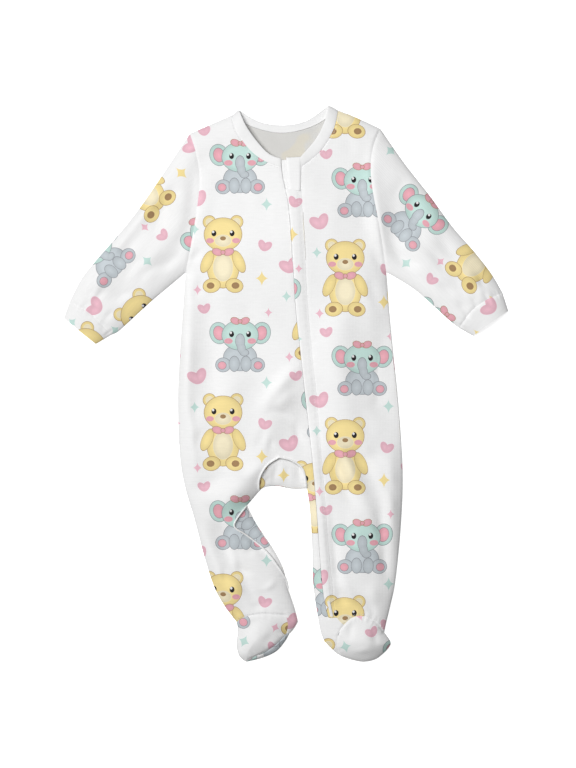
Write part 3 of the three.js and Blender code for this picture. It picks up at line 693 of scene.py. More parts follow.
def seam_relief(p):
    """Grooves of the seams and the puckers beside them."""
    total = np.zeros(p.shape[:-1])
    for seam, depth, breadth, pucker, spacing in SEAMS:
        distance, along = nearest(p, [seam])
        drift = np.sin(along / spacing * PUCKER_DRIFT) * PUCKER_SWAY
        wave = np.sin(2 * np.pi * along / spacing + drift)
        total -= depth * np.exp(-((distance / breadth) ** 2))
        total += pucker * wave * np.exp(-(((distance - PUCKER_AWAY) / PUCKER_BREADTH) ** 2))
    return total


def softness(p):
    """Slight unevenness of loose cloth, from a few crossing waves."""
    x, y = p[..., 0], p[..., 1]
    total = np.zeros(p.shape[:-1])
    for wave in WAVES:
        sway = (wave["swayX"] * x + wave["swayY"] * y) / wave["swayPeriod"] + wave["phase"]
        along = (wave["x"] * x + wave["y"] * y) / wave["period"]
        total += wave["height"] * np.sin(along + wave["sway"] * np.sin(sway))
    return total


def front_top(p):
    """Top of the front layer."""
    sizes = bpy.context.scene.sleepsuit_sizes
    distance, _ = nearest(p, OUTLINE)
    small = (relief(p, CREASES) + softness(p)) * sizes.crease_depth
    full = np.maximum(LOFT + relief(p, FOLDS) + small, LEAST_LOFT)
    near_edge = np.minimum(distance / SEAM_FADE, 1)
    rise = (EDGE_TOP - EDGE_MID + full) * round_over(distance, EDGE_ROUND)
    return EDGE_MID + rise + seam_relief(p) * near_edge


def under_face(p):
    """Face of the back layer that lies on the surface, curling up at the outline."""
    distance, _ = nearest(p, OUTLINE)
    return EDGE_MID * (1 - round_over(distance, UNDER_ROUND))


def gusset_top(p):
    """Top of the gussets, which lie just under the fronts."""
    distance, _ = nearest(p, OUTLINE)
    lower = relief(p, GUSSET_CREASES) - GUSSET_DROP
    return front_top(p) + lower * round_over(distance, EDGE_ROUND)


def zip_share(p):
    """Share of the way from the left front's edge to the right front's."""
    y = p[..., 1]
    left = np.vectorize(lambda v: column(BODY, "gap", v))(y)
    right = np.vectorize(lambda v: column(BODY, "stitch", v))(y)
    return np.clip((p[..., 0] - left) / (right - left), 0, 1)


def tape_top(p):
    """Top of the zip's tape, under the fronts and rising between them at the neck."""
    share = zip_share(p)
    rise = np.clip((p[..., 1] - TAPE_RISE_Y) / TAPE_RISE_RUN, 0, 1)
    between = np.clip(1 - np.abs(2 * share - 1) ** 6, 0, 1)
    return front_top(p) - TAPE_DROP + TAPE_RISE * rise * between


def flap_top(p):
    """Top of the zip's flap: a crowned strip with a stitched groove near its sewn side."""
    share = zip_share(p)
    free_edge = round_over(share, FLAP_ROUND_SHARE)
    crown = FLAP_CROWN * free_edge * (1 - share**2)
    groove = FLAP_GROOVE * np.exp(-(((share - FLAP_STITCH_SHARE) / FLAP_GROOVE_SHARE) ** 2))
    sewn = np.vectorize(lambda v: column(BODY, "stitch", v))(p[..., 1])
    dip = FLAP_DIP * np.clip((p[..., 0] - sewn) / FLAP_OVER, 0, 1) ** 2
    return front_top(p) + FLAP_PROUD * (1 - share**4 / 2) + crown - groove - dip


def guard_top(p):
    """Top of the chin guard, rolled down at its edges."""
    distance, _ = nearest(p, [np.array(GUARD + GUARD[:1], float)])
    return front_top(p) + mix(GUARD_RIM, GUARD_PROUD, round_over(distance, GUARD_ROUND))


# Lines that several pieces share
ARM = 48
NECK_COUNT = 40
NECK_ROWS = 26
SHOULDER_COUNT = 24
arm_down = {side: line(ARMHOLE[side], ARM, close_both)[::-1] for side in ARMHOLE}
cuff_seam = {side: line(CUFF_SEAM[side], ARM, close_both) for side in CUFF_SEAM}
shoulder = {side: line(SHOULDER[side], SHOULDER_COUNT, close_first) for side in SHOULDER}
neck = {name: line(points, NECK_COUNT) for name, points in NECK.items()}
arch_left = line(CROTCH["archLeft"], 16)
arch_right = line(CROTCH["archRight"], 16)
thigh = line(CROTCH["thigh"], 8)
hem = line(CROTCH["hem"], 32)
arch_top = np.array(CROTCH["top"], float)
leg_seam = down(LEFT_LEG, "seam", THIGH_Y, GUSSET_END_Y, 44)
vamp_seam_left = line(LEFT_FOOT["seam"], 36, close_first)
heel = line(LEFT_FOOT["heel"], 10)
heel_waist = straight(heel[0], at(LEFT_LEG, "inner", heel[0][1]), 8)
sole_seam = line(LEFT_FOOT["soleSeam"], 28)
vamp_seam_right = line(RIGHT_FOOT["arch"], 64)
vamp_side = line(RIGHT_FOOT["side"], 24)
outer_side = line(RIGHT_FOOT["outerSide"], 24)
zip_foot = line(RIGHT_FOOT["zipFoot"], 8)
body_side = {side: down(BODY, side, UNDERARM_Y, arch_top[1], 90) for side in ARMHOLE}
body_waist = straight(at(BODY, "left", arch_top[1]), arch_top, 44, close_ends)
strip_waist = straight(arch_top, at(BODY, "gap", arch_top[1]), 20)


def front_left_plans():
    """Left front: body, left leg, the strip beside the zip, and its end at the right heel."""
    ankle = straight(at(RIGHT_LEG, "inner", ZIP_END_Y), at(BODY, "gap", ZIP_END_Y), 20, close_first)
    body = grid(
        respaced(shoulder["left"], 64),
        join(body_waist, strip_waist),
        join(arm_down["left"], body_side["left"]),
        join(
            respaced(neck["leftSeam"], NECK_ROWS),
            down(BODY, "gap", NECK_Y, arch_top[1], ARM + 90 - NECK_ROWS),
        ),
    )
    leg = grid(
        body_waist,
        join(vamp_seam_left, heel_waist),
        down(BODY, "left", arch_top[1], LEFT_ANKLE_Y, 96),
        join(arch_left, thigh, leg_seam, down(LEFT_LEG, "inner", GUSSET_END_Y, heel[0][1], 28)),
        close_ends,
    )
    strip = grid(
        strip_waist,
        ankle,
        join(arch_right, down(RIGHT_LEG, "inner", RIGHT_CROTCH_Y, ZIP_END_Y, 70)),
        down(BODY, "gap", arch_top[1], ZIP_END_Y, 86),
    )
    foot = grid(
        join(ankle, straight(ankle[-1], zip_foot[0], 8)),
        line(TOE_CORNER, 28),
        down(RIGHT_LEG, "inner", ZIP_END_Y, RIGHT_TOE_Y, 32),
        join(zip_foot, vamp_side),
    )
    return [body, leg, heel_plan(), strip, foot]


def heel_plan():
    """Heel of the left foot, below the ankle seam's end."""
    inner = join(down(LEFT_LEG, "inner", heel[0][1], LEFT_HEEL_Y, 2), heel_outline)
    return grid(heel_waist, straight(heel[-1], heel[-1], 8), heel, inner)


def front_right_plan():
    """Right front, from the neck to the upper of the right foot."""
    return grid(
        respaced(shoulder["right"][::-1], 64),
        vamp_seam_right,
        join(
            respaced(neck["rightSeam"], NECK_ROWS),
            down(BODY, "stitch", NECK_Y, FRONT_END_Y, 152 - NECK_ROWS),
            straight(at(BODY, "stitch", FRONT_END_Y), zip_foot[0], 2),
            zip_foot,
        ),
        join(arm_down["right"], down(BODY, "right", UNDERARM_Y, RIGHT_ANKLE_Y, 114)),
    )


def back_plans():
    """Back: body halves, legs and the piece behind the crotch."""
    half = NECK_COUNT // 2
    centre = straight(neck["backSeam"][half], arch_top, ARM + 90)
    right_waist = straight(arch_top, at(BODY, "right", arch_top[1]), 44, close_ends)
    left = grid(
        join(shoulder["left"], neck["backSeam"][: half + 1]),
        body_waist,
        join(arm_down["left"], body_side["left"]),
        centre,
    )
    right = grid(
        join(neck["backSeam"][half:], shoulder["right"][::-1]),
        right_waist,
        centre,
        join(arm_down["right"], body_side["right"]),
    )
    leg_left = grid(
        body_waist,
        join(vamp_seam_left, heel_waist),
        down(BODY, "left", arch_top[1], LEFT_ANKLE_Y, 70),
        join(arch_left, thigh, down(LEFT_LEG, "inner", THIGH_Y, heel[0][1], 46)),
        close_ends,
    )
    leg_right = grid(
        right_waist,
        straight(at(RIGHT_LEG, "inner", HEEL_Y), at(BODY, "right", HEEL_Y), 44, close_ends),
        join(arch_right, down(RIGHT_LEG, "inner", RIGHT_CROTCH_Y, HEEL_Y, 54)),
        down(BODY, "right", arch_top[1], HEEL_Y, 70),
        close_ends,
    )
    return [left, right, leg_left, heel_plan(), leg_right, crotch_plan()]


def crotch_plan():
    """Gusset in the arch between the legs."""
    over = join(arch_left[::-1], arch_right)
    return grid(over, hem, straight(over[0], hem[0], 14), straight(over[-1], hem[-1], 14))


def crotch_gusset_plan():
    """The crotch gusset with its seam allowance under the fronts."""
    plan = crotch_plan()
    up = offset_line(plan[0], ALLOWANCE)
    return np.concatenate([up[None], plan])


def sleeve_plan(side):
    """Sleeve from the armhole to the cuff seam."""
    lower, upper = edges[side, "lower"][0], edges[side, "upper"][0]
    return grid(arm_down[side][::-1], cuff_seam[side], lower, upper)


def cuff_plan(side):
    """Cuff from its seam to its free end."""
    lower, upper = edges[side, "lower"][1], edges[side, "upper"][1]
    return grid(cuff_seam[side], straight(lower[-1], upper[-1], ARM, close_both), lower, upper)


def leg_gusset_plan():
    """Inner strip of the left leg, between its seam and the fold of the leg."""
    rows = [straight(p, at(LEFT_LEG, "inner", p[1]), 8) for p in leg_seam]
    rows = [row for row in rows if row[-1, 0] - row[0, 0] > GUSSET_LEAST]
    return np.array([np.concatenate([row[:1] - [ALLOWANCE, 0], row]) for row in rows])


def vamp_left_plan():
    """Upper of the left foot, from the ankle seam and the sole to the toe's fold."""
    tip = straight(sole_seam[-1], sole_outline[-1], 36)
    return grid(vamp_seam_left[::-1], tip, join(heel, sole_seam), toe_left)


def sole_left_plan():
    """Sole of the left foot, a strip that folds under at its edge."""
    return np.array([straight(mix(a, b, 0.05), b, 8) for a, b in zip(sole_seam, sole_outline)])


def vamp_right_plan():
    """Upper of the right foot."""
    return grid(vamp_seam_right, line(RIGHT_FOOT["toe"], 64), vamp_side, outer_side)


def sole_right_plan():
    """Sole of the right foot, flat under the upper."""
    return grid(
        straight(at(RIGHT_LEG, "inner", HEEL_Y), at(BODY, "right", HEEL_Y), 44),
        join(line(TOE_CORNER, 8), line(RIGHT_FOOT["toe"], 36)),
        down(RIGHT_LEG, "inner", HEEL_Y, RIGHT_TOE_Y, 24),
        join(down(BODY, "right", HEEL_Y, RIGHT_ANKLE_Y, 6), line(RIGHT_FOOT["outerSide"], 18)),
    )


def zip_plan(top, bottom, out_left, out_right, count, width_steps):
    """Strip along the zip, a little wider or narrower than the gap between the fronts."""
    left = shift(down(BODY, "gap", top, bottom, count), -out_left)
    right = shift(down(BODY, "stitch", top, bottom, count), out_right)
    return grid(
        straight(left[0], right[0], width_steps, close_both),
        straight(left[-1], right[-1], width_steps, close_both),
        left,
        right,
    )


def guard_plan():
    """Small folded piece over the top of the zip."""
    top_left, top_right, bottom_right, bottom_left = GUARD
    return grid(
        straight(top_left, top_right, 14, close_both),
        straight(bottom_left, bottom_right, 14, close_both),
        straight(top_left, bottom_left, 24, close_both),
        straight(top_right, bottom_right, 24, close_both),
    )


def linear(code):
    """Linear colour of an sRGB hex code."""
    shares = [int(code[i : i + 2], 16) / 255 for i in (1, 3, 5)]
    return (*[c / 12.92 if c <= 0.04045 else ((c + 0.055) / 1.055) ** 2.4 for c in shares], 1.0)


def length_setting(name, text, value):
    """A size that a user may change, in metres."""
    return FloatProperty(name=name, description=text, default=value, min=0, unit="LENGTH")


def colour_setting(name, text, code):
    """A colour that a user may change."""
    shade = linear(code)
    return FloatVectorProperty(name=name, description=text, default=shade, size=4, subtype="COLOR")


class SleepsuitSizes(bpy.types.PropertyGroup):
    """Sizes of the cloth and the sewing."""

    cloth: length_setting("Cloth", "Thickness of the body cloth", 0.0011)
    cuff: length_setting("Cuff", "Thickness of the cuffs, two layers", 0.0015)
    band: length_setting("Neckband", "Thickness of the folded neckband", 0.0015)
    stitch: length_setting("Stitch", "Length of one stitch", 0.0025)
    thread: length_setting("Thread", "Thickness of the sewing thread", 0.00045)
    crease_depth: FloatProperty(
        name="Creases", description="Strength of the small creases", default=1.7, min=0
    )


class SleepsuitColours(bpy.types.PropertyGroup):
    """Colours of the cloth, the print and the trims."""

    ground: colour_setting("Ground", "White ground of the printed cloth", "#FAFAFA")
    # Inside colour: the wrong side's white drawn greyer as painted shade, for the inside seen in
    # shade through the neck
    inside: colour_setting("Inside", "Wrong side of the printed cloth", "#DCDBD8")
    binding: colour_setting("Binding", "Jersey of the neckband", "#F8F8F8")
    thread: colour_setting("Thread", "Sewing thread", "#F1F1F1")
    zip: colour_setting("Zip", "Tape, coil and slider", "#F3F3F3")
    mint: colour_setting("Mint", "Mint of the animals", "#C9E6DF")
    grey: colour_setting("Grey", "Grey of the animals", "#CBD3D8")
    yellow: colour_setting("Yellow", "Yellow of the animals", "#FAE49F")
    cream: colour_setting("Cream", "Pale parts of the animals", "#FBF0CF")
    brown: colour_setting("Brown", "Paws and noses", "#B08E66")
    pink: colour_setting("Pink", "Bows and cheeks", "#F4B3BF")
    heart: colour_setting("Heart", "Hearts", "#F4C3D1")
    dark: colour_setting("Dark", "Eyes", "#2E2A2D")
    line: colour_setting("Line", "Drawn outlines", "#8F9298")


def add(tree, kind, inputs=(), **settings):
    """Adds one node with its settings, and links or sets its inputs by place or name."""
    made = tree.nodes.new(kind)
    for key, value in settings.items():
        setattr(made, key, value)
    for key, value in inputs.items() if isinstance(inputs, dict) else enumerate(inputs):
        if isinstance(value, bpy.types.NodeSocket):
            tree.links.new(value, made.inputs[key])
        else:
            made.inputs[key].default_value = value
    return made


def maths(tree, operation, *values):
    """Result of one operation on some values."""
    return add(tree, "ShaderNodeMath", values, operation=operation).outputs[0]


def cloth_plan(tree):
    """The cloth's own flat plan in metres."""
    return add(tree, "ShaderNodeUVMap", uv_map="cloth").outputs[0]


def noise(tree, scale, detail):
    """Cloudy noise over the piece."""
    place = add(tree, "ShaderNodeTexCoord").outputs["Object"]
    cloud = {"Vector": place, "Scale": scale, "Detail": detail}
    return add(tree, "ShaderNodeTexNoise", cloud).outputs["Fac"]


def mirrored(part, x, y, width, height, turn=0):
    """An oval on the right and its mirror image, the left one first."""
    return [(part, -x, y, width, height, -turn), (part, x, y, width, height, turn)]


# The print: ovals of two plain animals, hearts and stars, in mm in one repeat of the cloth
PRINT_WIDTH = 97
PRINT_HEIGHT = 188
PRINT_DROP = 71
PRINT_LINE = 0.5
WASH = 6
ELEPHANT_AT = (8, 46)
BEAR_AT = (-10, -46)
ELEPHANT_SIZE = 1.12
BEAR_SIZE = 1.2
ELEPHANT = [
    *mirrored("ear", 20, 11, 17, 20, -14),
    *mirrored("blush", 20, 11, 10, 13, -14),
    ("body", 0, -12, 31, 25, 0),
    *mirrored("leg", 16, -19, 14, 13),
    *mirrored("blush", 17, -19.5, 7.5, 7),
    *mirrored("leg", 5.5, -18, 9.5, 14),
    ("head", 0, 9, 34, 28, 0),
    ("trunk", 0, 3.5, 8.5, 13, 0),
    ("trunk", 1.2, -3, 7.5, 11, 12),
    ("trunk", 4, -7.5, 8, 6, 0),
    *mirrored("cheek", 11, 3.5, 7, 4.6),
    *mirrored("eye", 8, 10, 3.8, 4.8),
    ("glint", -8.7, 11.3, 1.3, 1.4, 0),
    ("glint", 7.3, 11.3, 1.3, 1.4, 0),
    *mirrored("bow", 4.6, 22.5, 8.4, 6, 22),
    ("knot", 0, 22, 3.4, 3.4, 0),
]
BEAR = [
    *mirrored("fur", 12, 28, 11, 11),
    *mirrored("inner", 12, 28, 6, 6),
    ("fur", 0, -12, 28, 36, 0),
    ("inner", 0, -12, 17, 24, 0),
    *mirrored("fur", 14, -7, 9, 20, 24),
    *mirrored("fur", 10, -28, 15, 12, -12),
    *mirrored("pad", 11, -28, 6, 5),
    ("fur", 0, 17, 33, 29, 0),
    ("inner", 0, 11.5, 14, 10, 0),
    ("pad", 0, 13.5, 4.2, 3, 0),
    *mirrored("eye", 8, 18, 3.6, 4.4),
    ("glint", -8.7, 19.2, 1.2, 1.3, 0),
    ("glint", 7.3, 19.2, 1.2, 1.3, 0),
    *mirrored("cheek", 11.5, 11.5, 6, 4),
    *mirrored("bow", 5, 1.5, 9, 6, 18),
    ("knot", 0, 1.2, 3.4, 3.4, 0),
]
# Part of a motif: fill and outline colour
PARTS = {
    "body": ("grey", "line"),
    "leg": ("grey", "line"),
    "head": ("mint", "line"),
    "ear": ("mint", "line"),
    "trunk": ("grey", "line"),
    "blush": ("pink", "line"),
    "cheek": ("pink", "pink"),
    "eye": ("dark", "dark"),
    "glint": ("ground", "ground"),
    "bow": ("pink", "brown"),
    "knot": ("pink", "brown"),
    "fur": ("yellow", "brown"),
    "inner": ("cream", "cream"),
    "pad": ("brown", "brown"),
    "heart": ("heart", "heart"),
}
# Hearts: centre, size and turn
HEARTS = [
    (-37, 12, 17, 18),
    (34, -38, 12, -14),
    (-30, 84, 11, 8),
]
HEART_LOBE = (0.20, 0.60, 0.96, 38)
# Stars with four points: centre, width, height, colour
STARS = [
    (36, 6, 13, 15, "mint"),
    (-37, -84, 10, 12, "heart"),
    (38, 80, 9, 11, "heart"),
    (31, -72, 14, 17, "yellow"),
    (-40, -20, 11, 13, "mint"),
]
STAR_POWER = 0.62


def paint(tree, base, mask, shade):
    """Base colour with a colour over it where the mask is 1."""
    return add(tree, "ShaderNodeMix", {0: mask, 6: base, 7: shade}, data_type="RGBA").outputs[2]


def oval_edge(tree, point, x, y, width, height, turn):
    """How far each point is outside an oval, in mm, less than 0 inside it."""
    places = {
        "Vector": point,
        "Location": (x, y, 0),
        "Rotation": (0, 0, math.radians(turn)),
        "Scale": (width / 2, height / 2, 1),
    }
    placed = add(tree, "ShaderNodeMapping", places, vector_type="TEXTURE").outputs[0]
    reach = add(tree, "ShaderNodeVectorMath", [placed], operation="LENGTH").outputs["Value"]
    radius = (width + height) / 4
    return maths(tree, "MULTIPLY_ADD", reach, radius, -radius)


def draw_motif(tree, point, base, rows, colours):
    """Paints a motif: ovals of one part run together, and each part has a thin outline."""
    for part, ovals in groupby(rows, key=lambda row: row[0]):
        edge = None
        for row in ovals:
            one = oval_edge(tree, point, *row[1:])
            if edge is None:
                edge = one
            else:
                edge = maths(tree, "MINIMUM", edge, one)
        fill, outline = PARTS[part]
        depth = {"Value": edge, "From Min": -WASH, "From Max": 0, "To Min": 1.05, "To Max": 0.88}
        wash = add(tree, "ShaderNodeMapRange", depth).outputs[0]
        shades = {0: tuple(getattr(colours, fill))[:3], 3: wash}
        washed = add(tree, "ShaderNodeVectorMath", shades, operation="SCALE").outputs[0]
        for limit, shade in ((PRINT_LINE, getattr(colours, outline)), (0, washed)):
            mask = maths(tree, "LESS_THAN", edge, limit)
            base = paint(tree, base, mask, shade)
    return base


def draw_star(tree, point, base, row, colours):
    """Paints one star with four points."""
    x, y, width, height, shade = row
    places = {"Vector": point, "Location": (x, y, 0), "Scale": (width / 2, height / 2, 1)}
    placed = add(tree, "ShaderNodeMapping", places, vector_type="TEXTURE").outputs[0]
    folded = add(tree, "ShaderNodeVectorMath", [placed], operation="ABSOLUTE").outputs[0]
    axes = add(tree, "ShaderNodeSeparateXYZ", [folded]).outputs
    arms = [maths(tree, "POWER", axes[i], STAR_POWER) for i in (0, 1)]
    reach = maths(tree, "ADD", *arms)
    mask = maths(tree, "LESS_THAN", reach, 1)
    return paint(tree, base, mask, getattr(colours, shade))


def moved(rows, place, size):
    """A motif's ovals at its place in the repeat, drawn larger by a share."""
    return [
        (part, x * size + place[0], y * size + place[1], wide * size, tall * size, turn)
        for part, x, y, wide, tall, turn in rows
    ]


def heart_ovals():
    """The two lobes of each heart."""
    side, width, height, lean = HEART_LOBE
    rows = []
    for x, y, size, turn in HEARTS:
        along = math.radians(turn)
        for sign in (-1, 1):
            away = sign * side * size
            centre = x + away * math.cos(along), y + away * math.sin(along)
            rows.append(("heart", *centre, width * size, height * size, turn - sign * lean))
    return rows


def repeat_point(tree):
    """The cloth's own plan in mm, folded into one repeat, each column dropped from the last."""
    axes = add(tree, "ShaderNodeSeparateXYZ", [cloth_plan(tree)]).outputs
    across = maths(tree, "MULTIPLY", axes[0], 1 / (PRINT_WIDTH * MM))
    order = maths(tree, "FLOOR", across)
    up = maths(tree, "MULTIPLY", axes[1], 1 / (PRINT_HEIGHT * MM))
    drop = PRINT_DROP / PRINT_HEIGHT
    dropped = maths(tree, "MULTIPLY_ADD", order, drop, up)
    local = []
    for share, size in ((across, PRINT_WIDTH), (dropped, PRINT_HEIGHT)):
        part = maths(tree, "FRACT", share)
        local.append(maths(tree, "MULTIPLY_ADD", part, size, -size / 2))
    return add(tree, "ShaderNodeCombineXYZ", local).outputs[0]


# Knits and weaves: distance between the wales, between the courses and the depth of the surface
# in metres, and its strength. Real wales are about 0.9 mm apart; the interlock's are drawn at
# 1.6 mm so that the render shows them
KNITS = {
    "interlock": (0.0016, 0.0019, 0.00022, 0.35),
    "rib": (0.0015, 0.0015, 0.0002, 0.3),
    "tape": (0.0012, 0.0012, 0.00015, 0.4),
}


def wave_scale(period):
    """Scale of a band texture for a period in metres."""
    return 2 * math.pi / (20 * period)


def knit_bump(tree, wale, course, depth, strength):
    """Surface of a fine knit: ribs of stitches along the cloth, courses across, and soft fuzz."""
    plan = cloth_plan(tree)
    bands = []
    for axis, period, distortion in (("X", wale, 0.6), ("Y", course, 0.8)):
        wave = {"Vector": plan, "Scale": wave_scale(period), "Distortion": distortion}
        wave.update({"Detail": 1, "Detail Scale": 2})
        bands.append(add(tree, "ShaderNodeTexWave", wave, bands_direction=axis).outputs["Fac"])
    stitch = maths(tree, "MULTIPLY", *bands)
    fuzz = noise(tree, 260, 4)
    surface = maths(tree, "MULTIPLY_ADD", fuzz, 0.8, stitch)
    fine = add(tree, "ShaderNodeBump", {"Strength": strength, "Distance": depth, "Height": surface})
    loose = noise(tree, 36, 2)
    soft = {"Strength": 0.35, "Distance": 0.0012, "Height": loose, "Normal": fine.outputs[0]}
    return add(tree, "ShaderNodeBump", soft).outputs[0]


def mottled(tree, base, amount, scale):
    """Colour with a slight cloudy unevenness."""
    cloud = noise(tree, scale, 5)
    level = {"Value": cloud, "From Min": 0.3, "From Max": 0.7, "To Min": 1 - amount, "To Max": 1}
    shade = add(tree, "ShaderNodeMapRange", level).outputs[0]
    start = base if isinstance(base, bpy.types.NodeSocket) else tuple(base)[:3]
    return add(tree, "ShaderNodeVectorMath", {0: start, 3: shade}, operation="SCALE").outputs[0]


def heathered(tree, base):
    """Colour with the fine uneven streaks of spun yarn, along the courses of the knit."""
    streaks = {"Vector": cloth_plan(tree), "Scale": (90, 620, 1)}
    along = add(tree, "ShaderNodeMapping", streaks).outputs[0]
    spun = {"Vector": along, "Scale": 1, "Detail": 3}
    yarn = add(tree, "ShaderNodeTexNoise", spun).outputs["Fac"]
    level = {"Value": yarn, "From Min": 0.35, "From Max": 0.65, "To Min": 0.972, "To Max": 1}
    shade = add(tree, "ShaderNodeMapRange", level).outputs[0]
    return add(tree, "ShaderNodeVectorMath", {0: base, 3: shade}, operation="SCALE").outputs[0]


def new_material(name):
    """An empty material with a shader joined to its output."""
    material = bpy.data.materials.new(name)
    material.use_nodes = True
    tree = material.node_tree
    tree.nodes.clear()
    shader = add(tree, "ShaderNodeBsdfPrincipled")
    add(tree, "ShaderNodeOutputMaterial", [shader.outputs[0]])
    return material, tree, shader


def finish_shader(tree, shader, colour, roughness, normal=None, sheen=0.0, specular=0.5):
    """Sets a shader's sockets."""
    if isinstance(colour, bpy.types.NodeSocket):
        tree.links.new(colour, shader.inputs["Base Color"])
    else:
        shader.inputs["Base Color"].default_value = colour
    shader.inputs["Roughness"].default_value = roughness
    shader.inputs["Specular IOR Level"].default_value = specular
    shader.inputs["Sheen Weight"].default_value = sheen
    shader.inputs["Sheen Roughness"].default_value = 0.5
    if normal:
        tree.links.new(normal, shader.inputs["Normal"])


def printed_cotton():
    """Cotton interlock, knitted and printed with pigment: matt, soft, with a faint fuzz."""
    material, tree, shader = new_material("PrintedCottonInterlock")
    colours = bpy.context.scene.sleepsuit_colours
    point = repeat_point(tree)
    ground = mottled(tree, colours.ground, 0.02, 40)
    for row in STARS:
        ground = draw_star(tree, point, ground, row, colours)
    elephant = moved(ELEPHANT, ELEPHANT_AT, ELEPHANT_SIZE)
    bear = moved(BEAR, BEAR_AT, BEAR_SIZE)
    inked = draw_motif(tree, point, ground, heart_ovals() + elephant + bear, colours)
    worn = heathered(tree, inked)
    normal = knit_bump(tree, *KNITS["interlock"])
    finish_shader(tree, shader, worn, 0.92, normal, sheen=0.12, specular=0.25)
    return material


def shaded_wrong_side():
    """Inside of the printed interlock: unprinted, the print showing through faintly, and drawn
    greyer than the ground as painted shade of the hollow seen through the neck.
    """
    material, tree, shader = new_material("CottonInterlockWrongSide")
    colours = bpy.context.scene.sleepsuit_colours
    cloud = noise(tree, 32, 1)
    ghost = {"Value": cloud, "From Min": 0.56, "From Max": 0.62, "To Min": 0, "To Max": 0.16}
    mask = add(tree, "ShaderNodeMapRange", ghost).outputs[0]
    # The grey base is painted shade; the faint yellow is the print showing through
    shown = paint(tree, colours.inside, mask, colours.yellow)
    normal = knit_bump(tree, *KNITS["interlock"])
    shown = mottled(tree, shown, 0.04, 60)
    finish_shader(tree, shader, shown, 0.95, normal, sheen=0.1, specular=0.2)
    return material


def white_jersey():
    """Cotton and elastane rib jersey, knitted and folded: matt with fine ribs across the band."""
    material, tree, shader = new_material("WhiteRibJersey")
    base = mottled(tree, bpy.context.scene.sleepsuit_colours.binding, 0.03, 90)
    normal = knit_bump(tree, *KNITS["rib"])
    finish_shader(tree, shader, base, 0.9, normal, sheen=0.12, specular=0.25)
    return material


def sewing_thread():
    """Spun polyester thread: white with a slight satin, its twist too fine to show."""
    material, tree, shader = new_material("SpunPolyesterThread")
    base = mottled(tree, bpy.context.scene.sleepsuit_colours.thread, 0.08, 900)
    finish_shader(tree, shader, base, 0.6, sheen=0.1, specular=0.4)
    return material


def zip_tape_cloth():
    """Woven polyester tape: smooth and closely woven, with a fine texture of crossing ribs."""
    material, tree, shader = new_material("WovenPolyesterTape")
    base = mottled(tree, bpy.context.scene.sleepsuit_colours.zip, 0.05, 300)
    normal = knit_bump(tree, *KNITS["tape"])
    finish_shader(tree, shader, base, 0.7, normal, specular=0.4)
    return material


def moulded_plastic():
    """Acetal and nylon of the slider and coil, moulded: half glossy with a fine mould texture."""
    material, tree, shader = new_material("MouldedAcetal")
    grain = {"Strength": 0.2, "Distance": 0.00004, "Height": noise(tree, 1800, 2)}
    normal = add(tree, "ShaderNodeBump", grain).outputs[0]
    base = mottled(tree, bpy.context.scene.sleepsuit_colours.zip, 0.03, 200)
    finish_shader(tree, shader, base, 0.38, normal, specular=0.5)
    return material


MATERIALS = {
    "printed": printed_cotton,
    "inside": shaded_wrong_side,
    "jersey": white_jersey,
    "thread": sewing_thread,
    "tape": zip_tape_cloth,
    "plastic": moulded_plastic,
}


def finish(name):
    """One of the materials, made the first time that it is asked for."""
    made = bpy.context.scene.get("sleepsuit_" + name)
    if made is None:
        made = MATERIALS[name]()
        bpy.context.scene["sleepsuit_" + name] = made
    return made


def lay(bm, plan, heights, faces_down=False):
    """Adds a grid to a mesh and moves it onto a plan, facing up or down."""
    rows, columns = plan.shape[0] - 1, plan.shape[1] - 1
    made = bmesh.ops.create_grid(bm, x_segments=columns, y_segments=rows, size=1)
    for vert in made["verts"]:
        i = round((vert.co.x + 1) / 2 * columns)
        j = round((1 - vert.co.y) / 2 * rows)
        vert.co = Vector((*plan[j, i], heights[j, i])) * MM
    across = plan[:-1, 1:] - plan[:-1, :-1]
    along = plan[:-1, :-1] - plan[1:, :-1]
    mirrored = (across[..., 0] * along[..., 1] - across[..., 1] * along[..., 0]).sum() < 0
    if mirrored != faces_down:
        faces = {face for vert in made["verts"] for face in vert.link_faces}
        bmesh.ops.reverse_faces(bm, faces=list(faces))


def map_cloth(bm, turn, offset):
    """Gives the mesh its flat cloth plan in metres, turned and moved for the piece."""
    layer = bm.loops.layers.uv.new("cloth")
    c, s = math.cos(math.radians(turn)), math.sin(math.radians(turn))
    for edge in bm.edges:
        edge.smooth = not edge.is_boundary
    for face in bm.faces:
        face.smooth = True
        for loop in face.loops:
            x, y = loop.vert.co.x - offset[0] * MM, loop.vert.co.y - offset[1] * MM
            loop[layer].uv = (x * c + y * s, y * c - x * s)


def placed(name, data):
    """A new object in the scene."""
    made = bpy.data.objects.new(name, data)
    bpy.context.scene.collection.objects.link(made)
    return made


def object_from(bm, name):
    """A mesh as an object in the scene."""
    mesh = bpy.data.meshes.new(name)
    bm.to_mesh(mesh)
    bm.free()
    return placed(name, mesh)


def thicken(made, thickness):
    """Gives a sheet its wall, below the face that shows."""
    wall = made.modifiers.new("Thickness", "SOLIDIFY")
    wall.thickness = thickness
    wall.offset = -1
    return wall


def piece_from(bm, name, looks, nodes=()):
    """Makes a mesh an object of the garment, with its finishes and the nodes that it stands for."""
    made = object_from(bm, name)
    for look in looks:
        made.data.materials.append(finish(look))
    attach(made, "root")
    if nodes:
        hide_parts(*nodes)
    return made


def cloth_piece(node, layers, flat, slot="printed_cotton", looks=("printed", "inside"), **lay_out):
    """Makes one cut of cloth from layers, each a plan, a height function and if it faces down."""
    sizes = bpy.context.scene.sleepsuit_sizes
    bm = bmesh.new()
    for plan, height, faces_down in layers:
        lay(bm, plan, height(plan), faces_down)
    bmesh.ops.remove_doubles(bm, verts=bm.verts, dist=MERGE)
    bmesh.ops.dissolve_degenerate(bm, dist=MERGE, edges=bm.edges)
    map_cloth(bm, lay_out.get("turn", 0), lay_out.get("offset", (0, 0)))
    made = piece_from(bm, node + "_cloth", looks, [node])
    wall = thicken(made, lay_out.get("thick", sizes.cloth))
    wall.material_offset = len(looks) - 1
    return made


